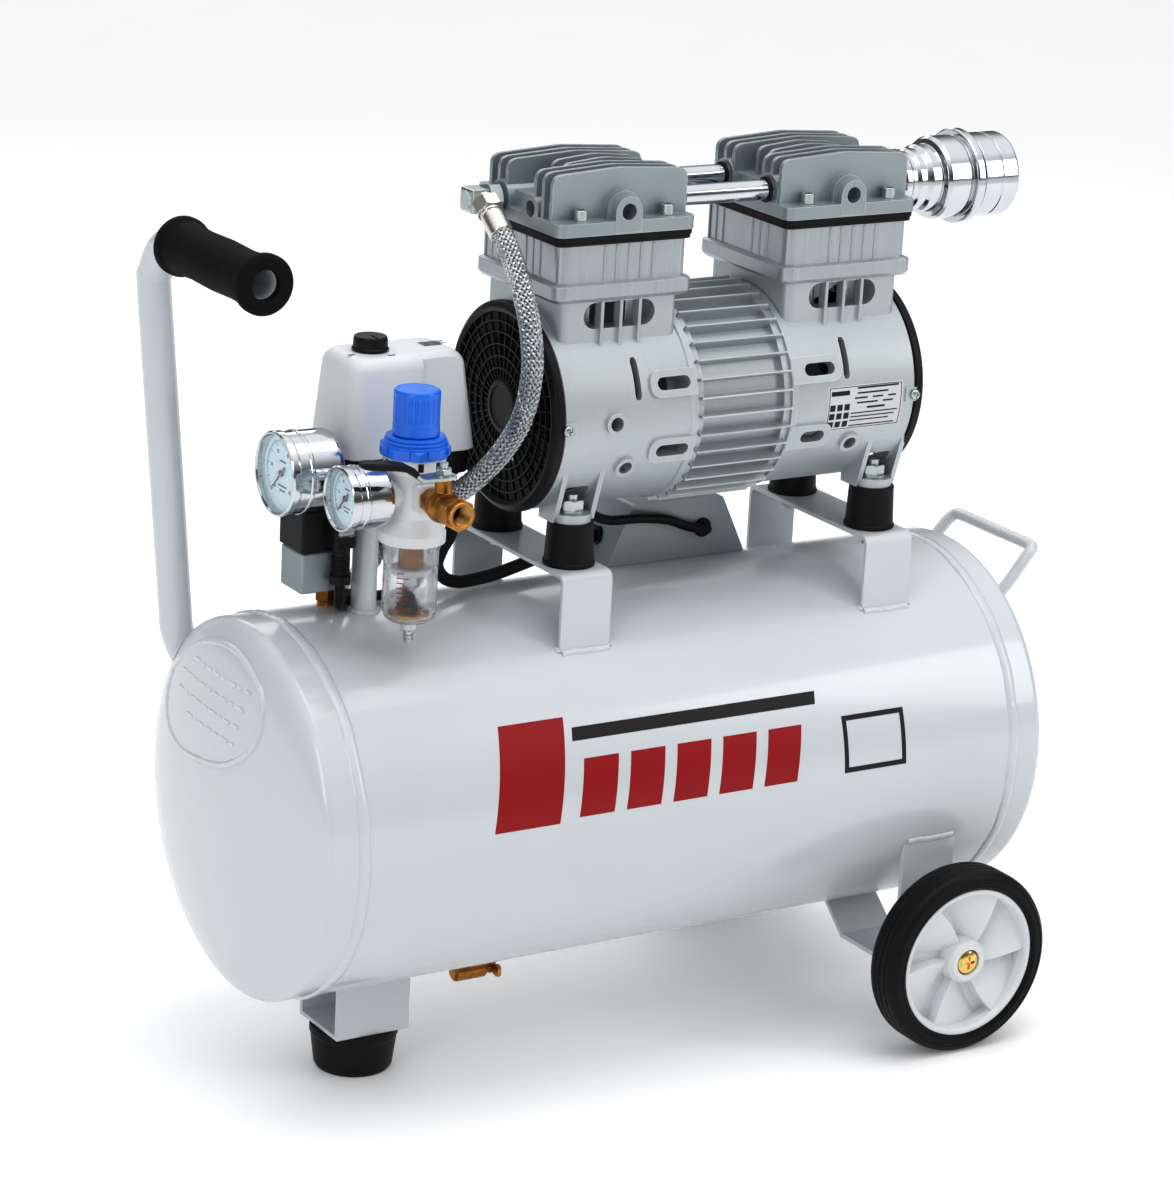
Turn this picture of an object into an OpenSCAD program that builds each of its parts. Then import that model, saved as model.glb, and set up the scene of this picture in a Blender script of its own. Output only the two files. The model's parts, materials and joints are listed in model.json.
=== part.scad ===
// Portable oil-free air compressor: horizontal tank on two wheels and a rubber foot,
// twin-cylinder direct-drive pump on rubber mounts, pressure switch, filter regulator.
// Origin: floor level under the middle of the tank. +X runs to the wheel end,
// -Y is the gauge side, +Z is up. All sizes are in millimetres.

/* [Tank] */
// Outer radius of the tank
tank_r = 120; // [119:0.5:121]
// Height of the tank's axis above the floor
tank_z = 184.9; // [184:0.1:186]
// Distance from the middle of the tank to each girth weld
barrel_half = 238.8; // [236:0.2:241]
// Straight flange of each pressed head
head_flange = 20; // [16:1:24]
// Depth of each pressed head's dome
head_dome = 25; // [22:1:28]
// Sheet thickness of the tank
tank_wall = 2.5; // [2:0.1:3]

/* [Handles] */
// Radius of the bent handle tube
handle_r = 10.5; // [10:0.1:10.5]
// Distance of the handle tube behind the tank's middle plane
handle_y = 92; // [90:1:93]
// Radius of the handle's top bend
handle_bend = 33; // [30:1:35]
// Height of the grip's axis
grip_z = 528; // [520:1:535]
// Length of the foam grip
grip_len = 115; // [105:1:118]
// Radius of the foam grip
grip_r = 16; // [15:0.5:18]
// Radius of the rod of the lifting handle at the wheel end
lift_rod_r = 4; // [3:0.5:4]
// Half the width of the lifting handle, between rod centres
lift_half = 45; // [40:1:48]

/* [Wheels and foot] */
// Radius of the tyres
tyre_r = 62.5; // [62:0.1:63]
// Width of the tyres
tyre_w = 28; // [26:1:28]
// Radius of the wheel rims
rim_r = 50.4; // [49:0.2:52]
// Distance of the axle from the middle of the tank
axle_x = 193; // [190:1:196]
// Distance of the tyres' outer faces from the middle plane
track_half = 154; // [153:0.5:155]
// Radius of the axle bolts
axle_r = 6; // [5:0.5:6]
// Distance of the rubber foot from the middle of the tank
foot_x = -178; // [-182:1:-174]
// Height of the rubber foot
foot_h = 29; // [28:0.5:29]

/* [Motor and pump] */
// Height of the motor's axis
motor_z = 425; // [424.5:0.1:425.5]
// Radius of the crankcases
case_r = 65; // [64:0.5:66]
// Radius over the fins of the motor's middle housing
fin_r = 69; // [67:0.5:70]
// Number of fins around the middle housing
fin_count = 36; // [24:1:40]
// Centres of the two cylinders along the motor
cyl_x = [-35, 131.5];
// Width of the cylinder blocks along the motor
block_w = 98.7; // [97:0.1:99]
// Depth of the cylinder blocks across the motor
block_d = 98.4; // [96:0.2:99]
// Radius of the cylinder bores
bore_r = 31.75; // [31:0.25:33]
// Crank throw: half of the piston stroke
throw = 8; // [6:0.5:8]
// Spacing of the motor's feet along the motor
feet_dx = 228.2; // [226:0.2:230]
// Spacing of the motor's feet across the motor
feet_dy = 88; // [86:1:90]
// Number of fins on each cylinder head
head_fins = 8; // [6:1:9]

/* [Air controls] */
// Plan position of the regulator's axis
reg = [-185, -62];
// Radius of the regulator body
reg_r = 20.5; // [19:0.5:20.5]
// Height of the valve and the line gauge
port_z = 397; // [396:0.5:398]
// Radius of the tank gauge
tank_gauge_r = 26; // [25:0.5:26]
// Radius of the line gauge
line_gauge_r = 20; // [19:0.5:20]
// Radius of the outlet's thread bore
outlet_r = 6; // [5.5:0.1:6.5]
// Depth of the outlet's thread bore
outlet_len = 14; // [12:1:14]

/* [Hidden] */
$fn = 64;
eps = 0.01;
// Air gap kept between welded or bolted neighbours with curved faces
gap = 0.2;
// Radial clearance of a running fit
fit = 0.05;

sheet = 3;
saddle_w = 36;
saddle_half = 68;
saddle_top = 333.2;
mount_h = 28;
lug_z = saddle_top + mount_h;
feet_x = [for (s = [-1, 1]) 51.7 + s * feet_dx / 2];
feet_y = [for (s = [-1, 1]) s * feet_dy / 2];
bolt_r = 4;

case_len = 96;
stator_x = [cyl_x[0] + case_len / 2, cyl_x[1] - case_len / 2];
bend_z = grip_z - handle_bend;
handle_lean = 21 / 233;
grip_x = -265.4 - (bend_z - 290) * handle_lean;
shaft_r = 8;
rotor_r = 45;
ecc_r = 16.5;
rod_len = 92;
piston_r = bore_r - throw - 0.75;
piston_h = 8;

deck_z = 499.2;
plate_z = 534.4;
head_z = 540.4;
fin_top = 576;
fin_half = 36;
screw_at = [31, 43.3];
pipe_z = 556;
pipe_y = 25;

wheel_in = track_half - tyre_w;
strap_x = [166, 206.6];
strap_y = 109;
strap_z = 46;

silencer_z = 550;
tank_gauge = [-254.6, -15, 402];
line_gauge = [-236, reg[1], port_z];
tank_gauge_len = 37;
line_gauge_len = 30;
valve_y = -97;
valve_stem_z = 408;
drain = [-93, 0, 50];
bowl_z = [316.5, 366.5];
nut_z = 420;
knob_z = 432.6;
pipe_pos = [-183.5, -2.5];
reg_back = reg[1] + 20.5;
base_front = -24;
check_pos = [-195, 22];

// Routes of the hose and the cables, from end to end
hose_start = [-100.2, -6.3, 538];
hose_route = [hose_start, [-101, -14, 533.4], [-102.3, -24, 526.5], [-104, -42, 509], [-106, -57, 488],
    [-108, -64.5, 465], [-110, -61, 438], [-114, -50, 416], [-121, -36, 396], [-131, -24, 381],
    [-143, -11, 369], [-154, 4, 356], [-163, 15, 341], [-168, 20, 328], [-174, 22, 318.5],
    [-180, 22, 314.6], [-186, 22, 314]];
conduit_route = [[-126, 2, 379.8], [-125, 3, 368], [-120, 4.5, 356], [-119, 5, 345], [-125, 5, 335],
    [-128, 5, 325], [-122, 5.5, 316], [-111, 6.5, 312], [-97, 9, 311.5], [-82, 12, 312], [-64, 18, 313],
    [-42, 27, 314], [-20, 37, 315], [-2, 45, 316], [15.5, 49, 317]];
lead_route = [[-206, -13, 327.8], [-206, -13, 320], [-204, -9, 313], [-198, 0, 309.6], [-190, 8, 308.8],
    [-180, 9.4, 308.7], [-166, 9, 309], [-150, 8, 310.5], [-138, 6.5, 315], [-129.5, 5.2, 323]];
motor_route = [[-16, 8, 360.1], [-13, 11, 346], [4, 17, 337], [30, 20, 334.5], [52, 21, 331],
    [68, 20.5, 325], [82, 19, 321.8], [82, 24.5, 321.8]];

// ---------------------------------------------------------------- helpers

module along_x(r, l, x = 0) translate([x, 0, 0]) rotate([0, 90, 0]) cylinder(r = r, h = l);

module along_y(r, l, y = 0) translate([0, y, 0]) rotate([-90, 0, 0]) cylinder(r = r, h = l);

// Round bar between two points
module bar(a, b, r) {
    d = b - a;
    translate(a) rotate([0, acos(d[2] / norm(d)), atan2(d[1], d[0])]) cylinder(r = r, h = norm(d));
}

// Rectangle with round corners, centred
module plate2d(w, d, r) {
    square([w - 2 * r, d], center = true);
    square([w, d - 2 * r], center = true);
    for (x = [-1, 1], y = [-1, 1]) translate([x * (w / 2 - r), y * (d / 2 - r)]) circle(r = r);
}

module block(w, d, h, r) linear_extrude(h) plate2d(w, d, r);

// Solid body of the whole tank, grown by g: used to cut welded pieces to its surface
module tank_envelope(g = 0) {
    ex = barrel_half + head_flange;
    a = head_dome + g;
    b = tank_r + g;
    side = [for (t = [0:6:90]) [b * cos(t), ex + a * sin(t)]];
    back = [for (t = [90:-6:0]) [b * cos(t), -ex - a * sin(t)]];
    translate([0, 0, tank_z]) rotate([0, 90, 0]) rotate_extrude($fn = 96)
        polygon(concat(side, back));
}

// Smooth run of points through a route, n steps per stretch
function spline(p, n) = [for (i = [0:len(p) - 2], k = [0:n - 1])
    let (a = p[max(i - 1, 0)], b = p[i], c = p[i + 1], d = p[min(i + 2, len(p) - 1)], t = k / n)
    0.5 * (2 * b + (c - a) * t + (2 * a - 5 * b + 4 * c - d) * t * t + (3 * b - a - 3 * c + d) * t * t * t),
    p[len(p) - 1]];
function unit(v) = v / norm(v);
function tangents(p) = [for (i = [0:len(p) - 1])
    unit(p[min(i + 1, len(p) - 1)] - p[max(i - 1, 0)])];
// Side vectors carried along the route without twisting
function sides(t, i = 0, s = undef) =
    let (s0 = i == 0 ? unit(cross(t[0], abs(t[0][0]) < 0.8 ? [1, 0, 0] : [0, 1, 0])) : s)
    i == len(t) ? [] :
    let (v = unit(s0 - (s0 * t[i]) * t[i])) concat([v], sides(t, i + 1, v));

module flex_tube(route, r, n, steps = 2) {
    p = spline(route, steps);
    t = tangents(p);
    s = sides(t);
    rings = [for (i = [0:len(p) - 1], k = [0:n - 1])
        p[i] + r * (cos(360 * k / n) * s[i] + sin(360 * k / n) * cross(t[i], s[i]))];
    last = (len(p) - 1) * n;
    faces = concat([[for (k = [0:n - 1]) k]],
        [for (i = [0:len(p) - 2], k = [0:n - 1]) let (m = (k + 1) % n)
            [i * n + k, (i + 1) * n + k, (i + 1) * n + m, i * n + m]],
        [[for (k = [n - 1:-1:0]) last + k]]);
    polyhedron(rings, faces, convexity = 10);
}

// ---------------------------------------------------------------- tank and frame

module tank_barrel() color("whitesmoke")
    translate([0, 0, tank_z]) difference() {
        along_x(tank_r, 2 * barrel_half, -barrel_half);
        along_x(tank_r - tank_wall, 2 * barrel_half + 2, -barrel_half - 1);
    }

// Pressed head with a straight flange and a raised weld bead at the joint
module tank_head() {
    a = head_dome;
    outer = [for (t = [0:6:90]) [tank_r * cos(t), head_flange + a * sin(t)]];
    inner = [for (t = [90:-6:0])
        [(tank_r - tank_wall) * cos(t), head_flange + (a - tank_wall) * sin(t)]];
    rotate([0, 90, 0]) rotate_extrude($fn = 96) {
        polygon(concat([[tank_r, 0]], outer, inner, [[tank_r - tank_wall, 0]]));
        polygon([[tank_r - 1, 0], [tank_r + 1, 0], [tank_r + 1.5, 2], [tank_r + 1, 5], [tank_r - 1, 6]]);
    }
}

module tank_heads() color("whitesmoke")
    translate([0, 0, tank_z]) for (m = [0, 1]) mirror([m, 0, 0])
        translate([barrel_half + eps, 0, 0]) tank_head();

// D-shaped rating plate welded to the gauge-end head, left blank: its long edge follows the rim
module name_plate() color("whitesmoke") intersection() {
    difference() { tank_envelope(1.6); tank_envelope(gap); }
    translate([-300, 0, tank_z]) rotate([0, 90, 0]) linear_extrude(60) intersection() {
        circle(r = 106, $fn = 96);
        translate([-70, 22]) plate2d(80, 139, 18);
    }
}

module foot_channel() color("whitesmoke") difference() {
    translate([foot_x, 0, foot_h]) translate([-26, -25, 0]) cube([52, 50, 40]);
    translate([foot_x - 30, -22, foot_h + sheet]) cube([60, 44, 40]);
    tank_envelope(gap);
    translate([foot_x, 0, foot_h - 1]) cylinder(r = 4.2, h = 6);
}

module rubber_foot() color("#18181a") translate([foot_x, 0, 0]) rotate_extrude()
    polygon([[10, 0], [23.5, 0], [24.5, 1.2], [28, 24], [28.5, 27], [28.5, foot_h], [4.2, foot_h],
        [4.2, 8], [10, 8]]);

// Bent strap that carries each wheel
module wheel_brackets() color("whitesmoke") for (m = [0, 1]) mirror([0, m, 0]) difference() {
    translate([strap_x[0], 0, 0]) rotate([90, 0, 90]) linear_extrude(strap_x[1] - strap_x[0])
        polygon([[-strap_y, 140], [-strap_y, strap_z + 4], [-strap_y + 4, strap_z], [-47, strap_z],
            [-12, strap_z + 30], [-16, strap_z + 30], [-48, strap_z + sheet],
            [-strap_y + 5, strap_z + sheet], [-strap_y + sheet, strap_z + 5], [-strap_y + sheet, 140]]);
    tank_envelope(gap);
    translate([axle_x, 0, tyre_r]) along_y(axle_r + fit, 20, -strap_y - 8);
}

// Shouldered bolts: pan head, spacer and nut
module axle_bolts() color("goldenrod") for (m = [0, 1]) mirror([0, m, 0])
    translate([axle_x, 0, tyre_r]) {
        difference() {
            along_y(8, 4.2, -track_half + 1.4);
            translate([0, -track_half + 1.9, 0]) for (a = [0, 90]) rotate([0, a, 0])
                cube([9, 2.4, 1.8], center = true);
        }
        along_y(axle_r, strap_y - sheet - 7 - 50, -track_half + 6);
        along_y(axle_r, track_half - strap_y + 12, -track_half + 6);
        along_y(9, wheel_in - strap_y - 0.8, -wheel_in + 0.4);
        translate([0, -strap_y + sheet + gap, 0]) rotate([-90, 0, 0]) cylinder(r = 9.2, h = 7, $fn = 6);
    }

// The tube rises from the tank's shoulder, leans outwards and turns into the grip
module handle_tube() color("whitesmoke") difference() {
    flex_tube(concat([[-250, handle_y, 246], [-259, handle_y, 262], [-264, handle_y, 276],
        [-265.4, handle_y, 290], [(-265.4 + grip_x) / 2, handle_y, (290 + bend_z) / 2]],
        [for (a = [0:15:90]) [grip_x, handle_y - handle_bend * (1 - cos(a)), bend_z + handle_bend * sin(a)]],
        [[grip_x, 20, grip_z], [grip_x, -49.7, grip_z]]), handle_r, 24, 3);
    tank_envelope(gap);
    translate([grip_x, 0, grip_z]) along_y(handle_r - 1.8, 60, -60);
}

// Foam sleeve with a rolled collar at each end and an open outer end
module handle_grip() color("#161618")
    translate([grip_x, handle_y - handle_bend - grip_len, grip_z]) rotate([-90, 0, 0])
    rotate_extrude() polygon([[handle_r + gap, grip_len - gap], [handle_r + gap, 6], [9, 6], [9, 0],
        [17, 0], [18.5, 2], [18.5, 7], [grip_r, 12], [grip_r, grip_len - 12], [18.5, grip_len - 7],
        [18.5, grip_len - 2], [17, grip_len - gap]]);

// Rod handle welded to the wheel-end head
module lift_handle() color("whitesmoke") difference() {
    union() {
        for (s = [-1, 1]) {
            bar([266, s * lift_half, 263], [304, s * lift_half, 303], lift_rod_r);
            translate([304, s * lift_half, 303]) sphere(r = lift_rod_r);
        }
        translate([304, 0, 303]) along_y(lift_rod_r, 2 * lift_half, -lift_half);
    }
    tank_envelope(gap);
}

// Folded bridge under the motor's feet, standing on the tank
module motor_saddles() color("whitesmoke") for (x = feet_x) difference() {
    translate([x - saddle_w / 2, -saddle_half, 255])
        cube([saddle_w, 2 * saddle_half, saddle_top - 255]);
    translate([x - saddle_w / 2 - 1, -saddle_half + sheet, 250])
        cube([saddle_w + 2, 2 * (saddle_half - sheet), saddle_top - sheet - 250]);
    tank_envelope(gap);
    for (y = feet_y) translate([x, y, saddle_top - 10]) cylinder(r = bolt_r + 0.3, h = 20);
}

module rubber_mounts() color("#1c1c1e") for (x = feet_x, y = feet_y)
    translate([x, y, saddle_top + eps]) difference() {
        cylinder(r1 = 16.5, r2 = 15, h = mount_h - 2 * eps);
        translate([0, 0, -1]) cylinder(r = bolt_r + 0.1, h = mount_h + 2);
    }

// Stud with a nut under the saddle and a nut and washer over the motor's foot
module mount_bolts() color("silver") for (x = feet_x, y = feet_y) translate([x, y, 0]) {
    translate([0, 0, 321]) cylinder(r = bolt_r, h = lug_z + 21 - 321);
    translate([0, 0, saddle_top - sheet - 6.2]) cylinder(r = 7.5, h = 6, $fn = 6);
    translate([0, 0, lug_z + 10.2]) cylinder(r = 8.5, h = 1.6);
    translate([0, 0, lug_z + 11.8]) cylinder(r = 7.5, h = 6.5, $fn = 6);
}

module drain_valve_body() color("peru") difference() {
    union() {
        translate([drain[0], 0, drain[2]]) cylinder(r = 6, h = 16);
        translate([drain[0], 0, drain[2] + 5]) cylinder(r = 8, h = 6, $fn = 6);
        translate(drain) along_x(6.5, 24, -14);
    }
    tank_envelope(gap);
    translate(drain) along_x(3 + fit, 12, 0);
}

// Wing tap that screws into the drain valve
module drain_tap() color("peru") translate(drain) {
    along_x(3, 16, 1);
    translate([12.5, 0, 0]) rotate([0, 90, 0]) linear_extrude(3) {
        square([22, 5], center = true);
        for (s = [-1, 1]) translate([s * 9.5, 0]) circle(r = 4);
    }
}

// ---------------------------------------------------------------- air controls

// Riser from the tank to the switch base, and the nipple from the base to the regulator
module stand_pipe() color("whitesmoke") difference() {
    union() {
        translate([pipe_pos[0], pipe_pos[1], 290]) cylinder(r = 8, h = port_z - 290 - 10);
        translate([reg[0], 0, port_z]) along_y(6.5, base_front - reg_back - 2 * gap, reg_back + gap);
    }
    tank_envelope(gap);
}

module check_valve() color("peru") difference() {
    translate([check_pos[0], check_pos[1], 0]) {
        translate([0, 0, 295]) cylinder(r = 7, h = 25.9);
        translate([0, 0, 306]) cylinder(r = 8.6, h = 10, $fn = 6);
        translate([0, 0, 314]) along_x(6, 9.7, -1);
    }
    tank_envelope(gap);
}

module manifold_block() color("#8f9294")
    translate([-229.5, 0, 321]) cube([34, 28, 25.5]);

// Black moulded base: plate under the cover, terminal block and cable entries
module switch_base() color("#1b1b1d") {
    translate([-165, 4, 392]) linear_extrude(14.6) plate2d(84, 52, 7);
    translate([-229.5, -7, 346.7]) cube([31.5, 31, 26]);
    translate([-213, -7, 346.7]) cube([15, 31, 46]);
    translate([-206, -13, 351]) block(15, 13, 41.5, 3);
    translate([0, tank_gauge[1], tank_gauge[2] - 2]) along_x(6.4, 10, -212);
    translate([reg[0], 0, port_z]) along_y(9.6, 32, base_front);
    translate([-126, 2, 386]) cylinder(r = 8, h = 7);
}

// Painted hood, wider at the bottom than at the top
module switch_cover() color("whitesmoke") difference() {
    hull() {
        translate([-164, 4, 407]) linear_extrude(eps) plate2d(90, 58, 12);
        translate([-165.5, 3.5, 462]) linear_extrude(eps) plate2d(78, 49, 10);
        translate([-166, 3.5, 468]) linear_extrude(eps) plate2d(68, 39, 8);
    }
    translate([-164, 4, 406]) linear_extrude(8) plate2d(86, 54, 10);
    translate([-165, 4, 410]) linear_extrude(54) plate2d(70, 42, 8);
    translate([-182, 3, 460]) cylinder(r = 4.2, h = 12);
}

module switch_knob() color("#161618") translate([-182, 3, 0]) {
    translate([0, 0, 452]) cylinder(r = 4, h = 17);
    translate([0, 0, 468.3]) cylinder(r1 = 11.5, r2 = 10.5, h = 8.9);
}

module cable_glands() color("#26272b") {
    translate([-206, -13, 328]) {
        cylinder(r = 7.2, h = 6, $fn = 6);
        translate([0, 0, 6]) cylinder(r = 5.8, h = 16.8);
    }
    translate([-126, 2, 380]) cylinder(r = 6.4, h = 5.8);
}

// Cup of a gauge with its bezel and stem, facing -X; origin at the middle of its face
module gauge_case(r, l, stem_r, stem_l) difference() {
    union() {
        along_x(r, 4, 0);
        along_x(r - 0.8, l, 0);
        along_x(stem_r, stem_l, l - eps);
    }
    along_x(r - 2.2, l - 3, -eps);
}

module tank_gauge_case() color("silver") translate(tank_gauge)
    gauge_case(tank_gauge_r, tank_gauge_len, 5, 5.4);

module line_gauge_case() color("silver") translate(line_gauge)
    gauge_case(line_gauge_r, line_gauge_len, 5, 2.2);

module gauge_dials() color("lightblue") {
    translate(tank_gauge) along_x(tank_gauge_r - 2.3, 2, 6);
    translate(line_gauge) along_x(line_gauge_r - 2.3, 2, 6);
}

module gauge_lenses() color("azure", 0.35) {
    translate(tank_gauge) along_x(tank_gauge_r - 2.3, 1.6, 0.6);
    translate(line_gauge) along_x(line_gauge_r - 2.3, 1.6, 0.6);
}

// Pointer resting on zero, at the lower left of the dial
module gauge_needle(l) rotate([-135, 0, 0]) {
    translate([4, 0, 0]) along_x(2, 1.2);
    translate([4.2, -0.6, -l * 0.35]) cube([0.8, 1.2, l * 1.35]);
}

module tank_gauge_needle() color("#101010") translate(tank_gauge) gauge_needle(17);
module line_gauge_needle() color("#101010") translate(line_gauge) gauge_needle(13);

module regulator_body() color("whitesmoke") difference() {
    translate([reg[0], reg[1], 0]) {
        translate([0, 0, 366.5]) cylinder(r = reg_r, h = 7);
        translate([0, 0, 373.5]) cylinder(r1 = reg_r, r2 = 15.5, h = 9);
        translate([0, 0, 380]) cylinder(r = 15.5, h = 30);
        translate([0, 0, 408]) cylinder(r = 19, h = nut_z - 408);
        translate([0, 0, 404]) cylinder(r1 = 15.5, r2 = 19, h = 4);
        translate([-9, -20.8, port_z - 9]) cube([18, 20, 18]);
        translate([-9, 0, port_z - 9]) cube([18, 20.5, 18]);
        translate([0, 0, port_z]) along_x(10, 18.4, -18.4);
    }
    translate([reg[0], reg[1], 404]) cylinder(r = 14, h = 20);
    translate([reg[0], reg[1], port_z]) along_x(5.2, 10, -20);
    translate([reg[0], reg[1], 360]) cylinder(r = 8, h = 24);
}

// Faceted lock ring round the knob's root
module regulator_nut() color("royalblue") translate([reg[0], reg[1], nut_z + eps]) difference() {
    union() {
        cylinder(r = 21.6, h = 6, $fn = 8);
        translate([0, 0, 6]) cylinder(r1 = 19.5, r2 = 15.5, h = 3);
        translate([0, 0, 9]) cylinder(r = 15.2, h = 3.2);
    }
    translate([0, 0, -1]) cylinder(r = 5.3, h = 20);
}

module regulator_spindle() color("silver") translate([reg[0], reg[1], 0]) {
    translate([0, 0, 408]) cylinder(r = 3.5, h = 40);
    translate([0, 0, 405.5]) cylinder(r = 12, h = 3);
}

module regulator_knob() color("royalblue") translate([reg[0], reg[1], knob_z]) difference() {
    union() {
        cylinder(r = 14.2, h = 6);
        translate([0, 0, 6]) linear_extrude(20.5) difference() {
            circle(r = 14.2);
            for (a = [0:15:345]) rotate(a) translate([14.6, 0]) circle(r = 1.1, $fn = 16);
        }
        translate([0, 0, 26.5]) cylinder(r = 13.4, h = 1);
    }
    translate([0, 0, -1]) cylinder(r = 3.5 + fit, h = 21);
}

module filter_bowl() color("azure", 0.4) translate([reg[0], reg[1], 0]) rotate_extrude()
    polygon([[17.2, bowl_z[1] - gap], [17.2, 324], [15.5, 319], [12, bowl_z[0]], [3.6, bowl_z[0]],
        [3.6, 318.5], [11.5, 318.5], [13.8, 320.5], [15.2, 324.5], [15.2, bowl_z[1] - gap]]);

// Sintered cartridge over a white baffle on its stud
module filter_element() color("sandybrown") translate([reg[0], reg[1], 0]) {
    translate([0, 0, 350]) cylinder(r = 7.6, h = 16);
    translate([0, 0, 347]) cylinder(r = 12.5, h = 3);
    translate([0, 0, 340]) cylinder(r = 2, h = 7.5);
}

module bowl_drain() color("silver") translate([reg[0], reg[1], 0]) {
    translate([0, 0, 310]) cylinder(r = 3.5, h = 11);
    translate([0, 0, 310.5]) cylinder(r = 5, h = 5.6);
    translate([0, 0, 301.6]) cylinder(r1 = 2.2, r2 = 3, h = 9);
}

module ball_valve_body() color("peru") translate([reg[0], 0, port_z]) difference() {
    union() {
        along_y(7.6, 6, reg[1] - 20.9 - 6);
        along_y(8.8, 15, valve_y - 6);
        translate([0, valve_y, 0]) sphere(r = 10.4);
        translate([0, valve_y - 20, 0]) rotate([-90, 0, 0]) cylinder(r = 10.8, h = 8, $fn = 6);
        along_y(8.6, 22, valve_y - 24);
        translate([0, valve_y, 0]) cylinder(r = 5.2, h = valve_stem_z + 6 - port_z);
    }
    along_y(outlet_r, outlet_len, valve_y - 24);
    translate([0, valve_y, 2]) cylinder(r = 2.5 + fit, h = 30);
}

// Stem, cranked plate and dipped sleeve: points to -X when shut, to -Y when open
module ball_valve_lever() color("#1a1a1c") translate([reg[0], valve_y, 0]) {
    translate([0, 0, port_z + 2.5]) cylinder(r = 2.5, h = 26);
    translate([0, 0, valve_stem_z + 8.2]) cylinder(r = 5, h = 4, $fn = 6);
    translate([0, 0, valve_stem_z + 6.2]) {
        cylinder(r = 7.5, h = 2);
        translate([-16, -5.5, 0]) cube([16, 11, 2]);
    }
    rotate([90, 0, 0]) translate([0, 0, -5]) linear_extrude(10)
        polygon([[-14, valve_stem_z + 6.2], [-14, valve_stem_z + 8.2], [-24, valve_stem_z + 17],
            [-54, valve_stem_z + 21], [-56, valve_stem_z + 19], [-54, valve_stem_z + 17],
            [-24, valve_stem_z + 12]]);
}

// ---------------------------------------------------------------- motor and pump

module stator_housing() color("silver") translate([0, 0, motor_z]) rotate([90, 0, 90])
    translate([0, 0, stator_x[0] + eps]) linear_extrude(stator_x[1] - stator_x[0] - 2 * eps)
    difference() {
        union() {
            circle(r = 60.5, $fn = 96);
            for (k = [0:fin_count - 1]) rotate(k * 360 / fin_count)
                translate([50, -1.1]) square([fin_r - 50, 2.2]);
        }
        circle(r = rotor_r + 0.6);
    }

// One crankcase drawn round x = 0 with its open fan end at -X. foot_at is the middle of its feet,
// holes gives [middle, angle above the axis] of each oblong hole.
module crankcase(foot_at, holes) {
    half = case_len / 2;
    neck_w = 86;
    neck_d = 88;
    vent_z = 489.4;
    difference() {
        union() {
            translate([0, 0, motor_z]) along_x(case_r, case_len, -half);
            translate([0, 0, motor_z + 20]) block(neck_w, neck_d, deck_z - motor_z - 20, 5);
            for (y = feet_y) translate([foot_at, y, lug_z]) block(26.4, 30, 28, 6);
        }
        translate([0, 0, motor_z]) along_x(case_r - 6, case_len - 12, -half - 1);
        translate([0, 0, motor_z]) along_x(shaft_r + fit, 40, half - 20);
        translate([0, 0, motor_z]) cylinder(r = bore_r + 1, h = 90);
        for (m = [0, 1]) mirror([0, m, 0]) {
            translate([0, -neck_d / 2, vent_z]) rotate([90, 0, 0]) translate([0, 0, -13])
                linear_extrude(26) difference() {
                    plate2d(51.5, 16.5, 8.2);
                    for (k = [-1:1]) translate([k * 13.5 - 1.2, -10]) square([2.4, 20]);
                }
            translate([0, 0, motor_z]) rotate([-24.5, 0, 0]) translate([3.1, -70, -14]) cube([4.6, 14, 28]);
            for (h = holes) translate([0, 0, motor_z]) rotate([-h[1], 0, 0]) translate([h[0], -56, 0])
                rotate([90, 0, 0]) linear_extrude(16) plate2d(21.5, 7, 3.4);
            translate([foot_at, feet_y[0], lug_z]) {
                translate([0, 0, -1]) cylinder(r = bolt_r + 0.2, h = 12);
                translate([0, 0, 10]) cylinder(r = 9.5, h = 14);
                translate([-9.5, -30, 10]) cube([19, 30, 14]);
            }
        }
    }
}

module crankcase_left() color("silver") translate([cyl_x[0], 0, 0])
    crankcase(feet_x[0] - cyl_x[0], [[31.3, 20], [32.2, -17.5]]);
module crankcase_right() color("silver") translate([cyl_x[1], 0, 0]) mirror([1, 0, 0])
    crankcase(cyl_x[1] - feet_x[1], [[26.2, 19.5]]);

// Grille of rings and spokes over each fan
module fan_guard() rotate([90, 0, 90]) {
    linear_extrude(8) difference() { circle(r = 66); circle(r = 61.5); }
    translate([0, 0, 5.5]) linear_extrude(2.5) {
        circle(r = 17);
        for (r = [26, 36, 46, 56]) difference() { circle(r = r + 1.2); circle(r = r - 1.2); }
        for (a = [0:15:165]) rotate(a) square([124, 1.6], center = true);
    }
}

module fan_guards() color("#1d1e22") translate([0, 0, motor_z]) {
    translate([cyl_x[0] - case_len / 2 - eps, 0, 0]) mirror([1, 0, 0]) fan_guard();
    translate([cyl_x[1] + case_len / 2 + eps, 0, 0]) fan_guard();
}

module cylinders() color("silver") for (x = cyl_x) translate([x, 0, deck_z + eps]) difference() {
    union() {
        block(block_w, block_d, 12, 5);
        block(block_w - 7, block_d - 7, plate_z - deck_z - 2 * eps, 5);
    }
    translate([0, 0, -1]) cylinder(r = bore_r, h = 50);
}

module valve_plates() color("#17181a") for (x = cyl_x) translate([x, 0, plate_z])
    block(block_w - 1.5, block_d - 1.5, head_z - plate_z - eps, 4);

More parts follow.
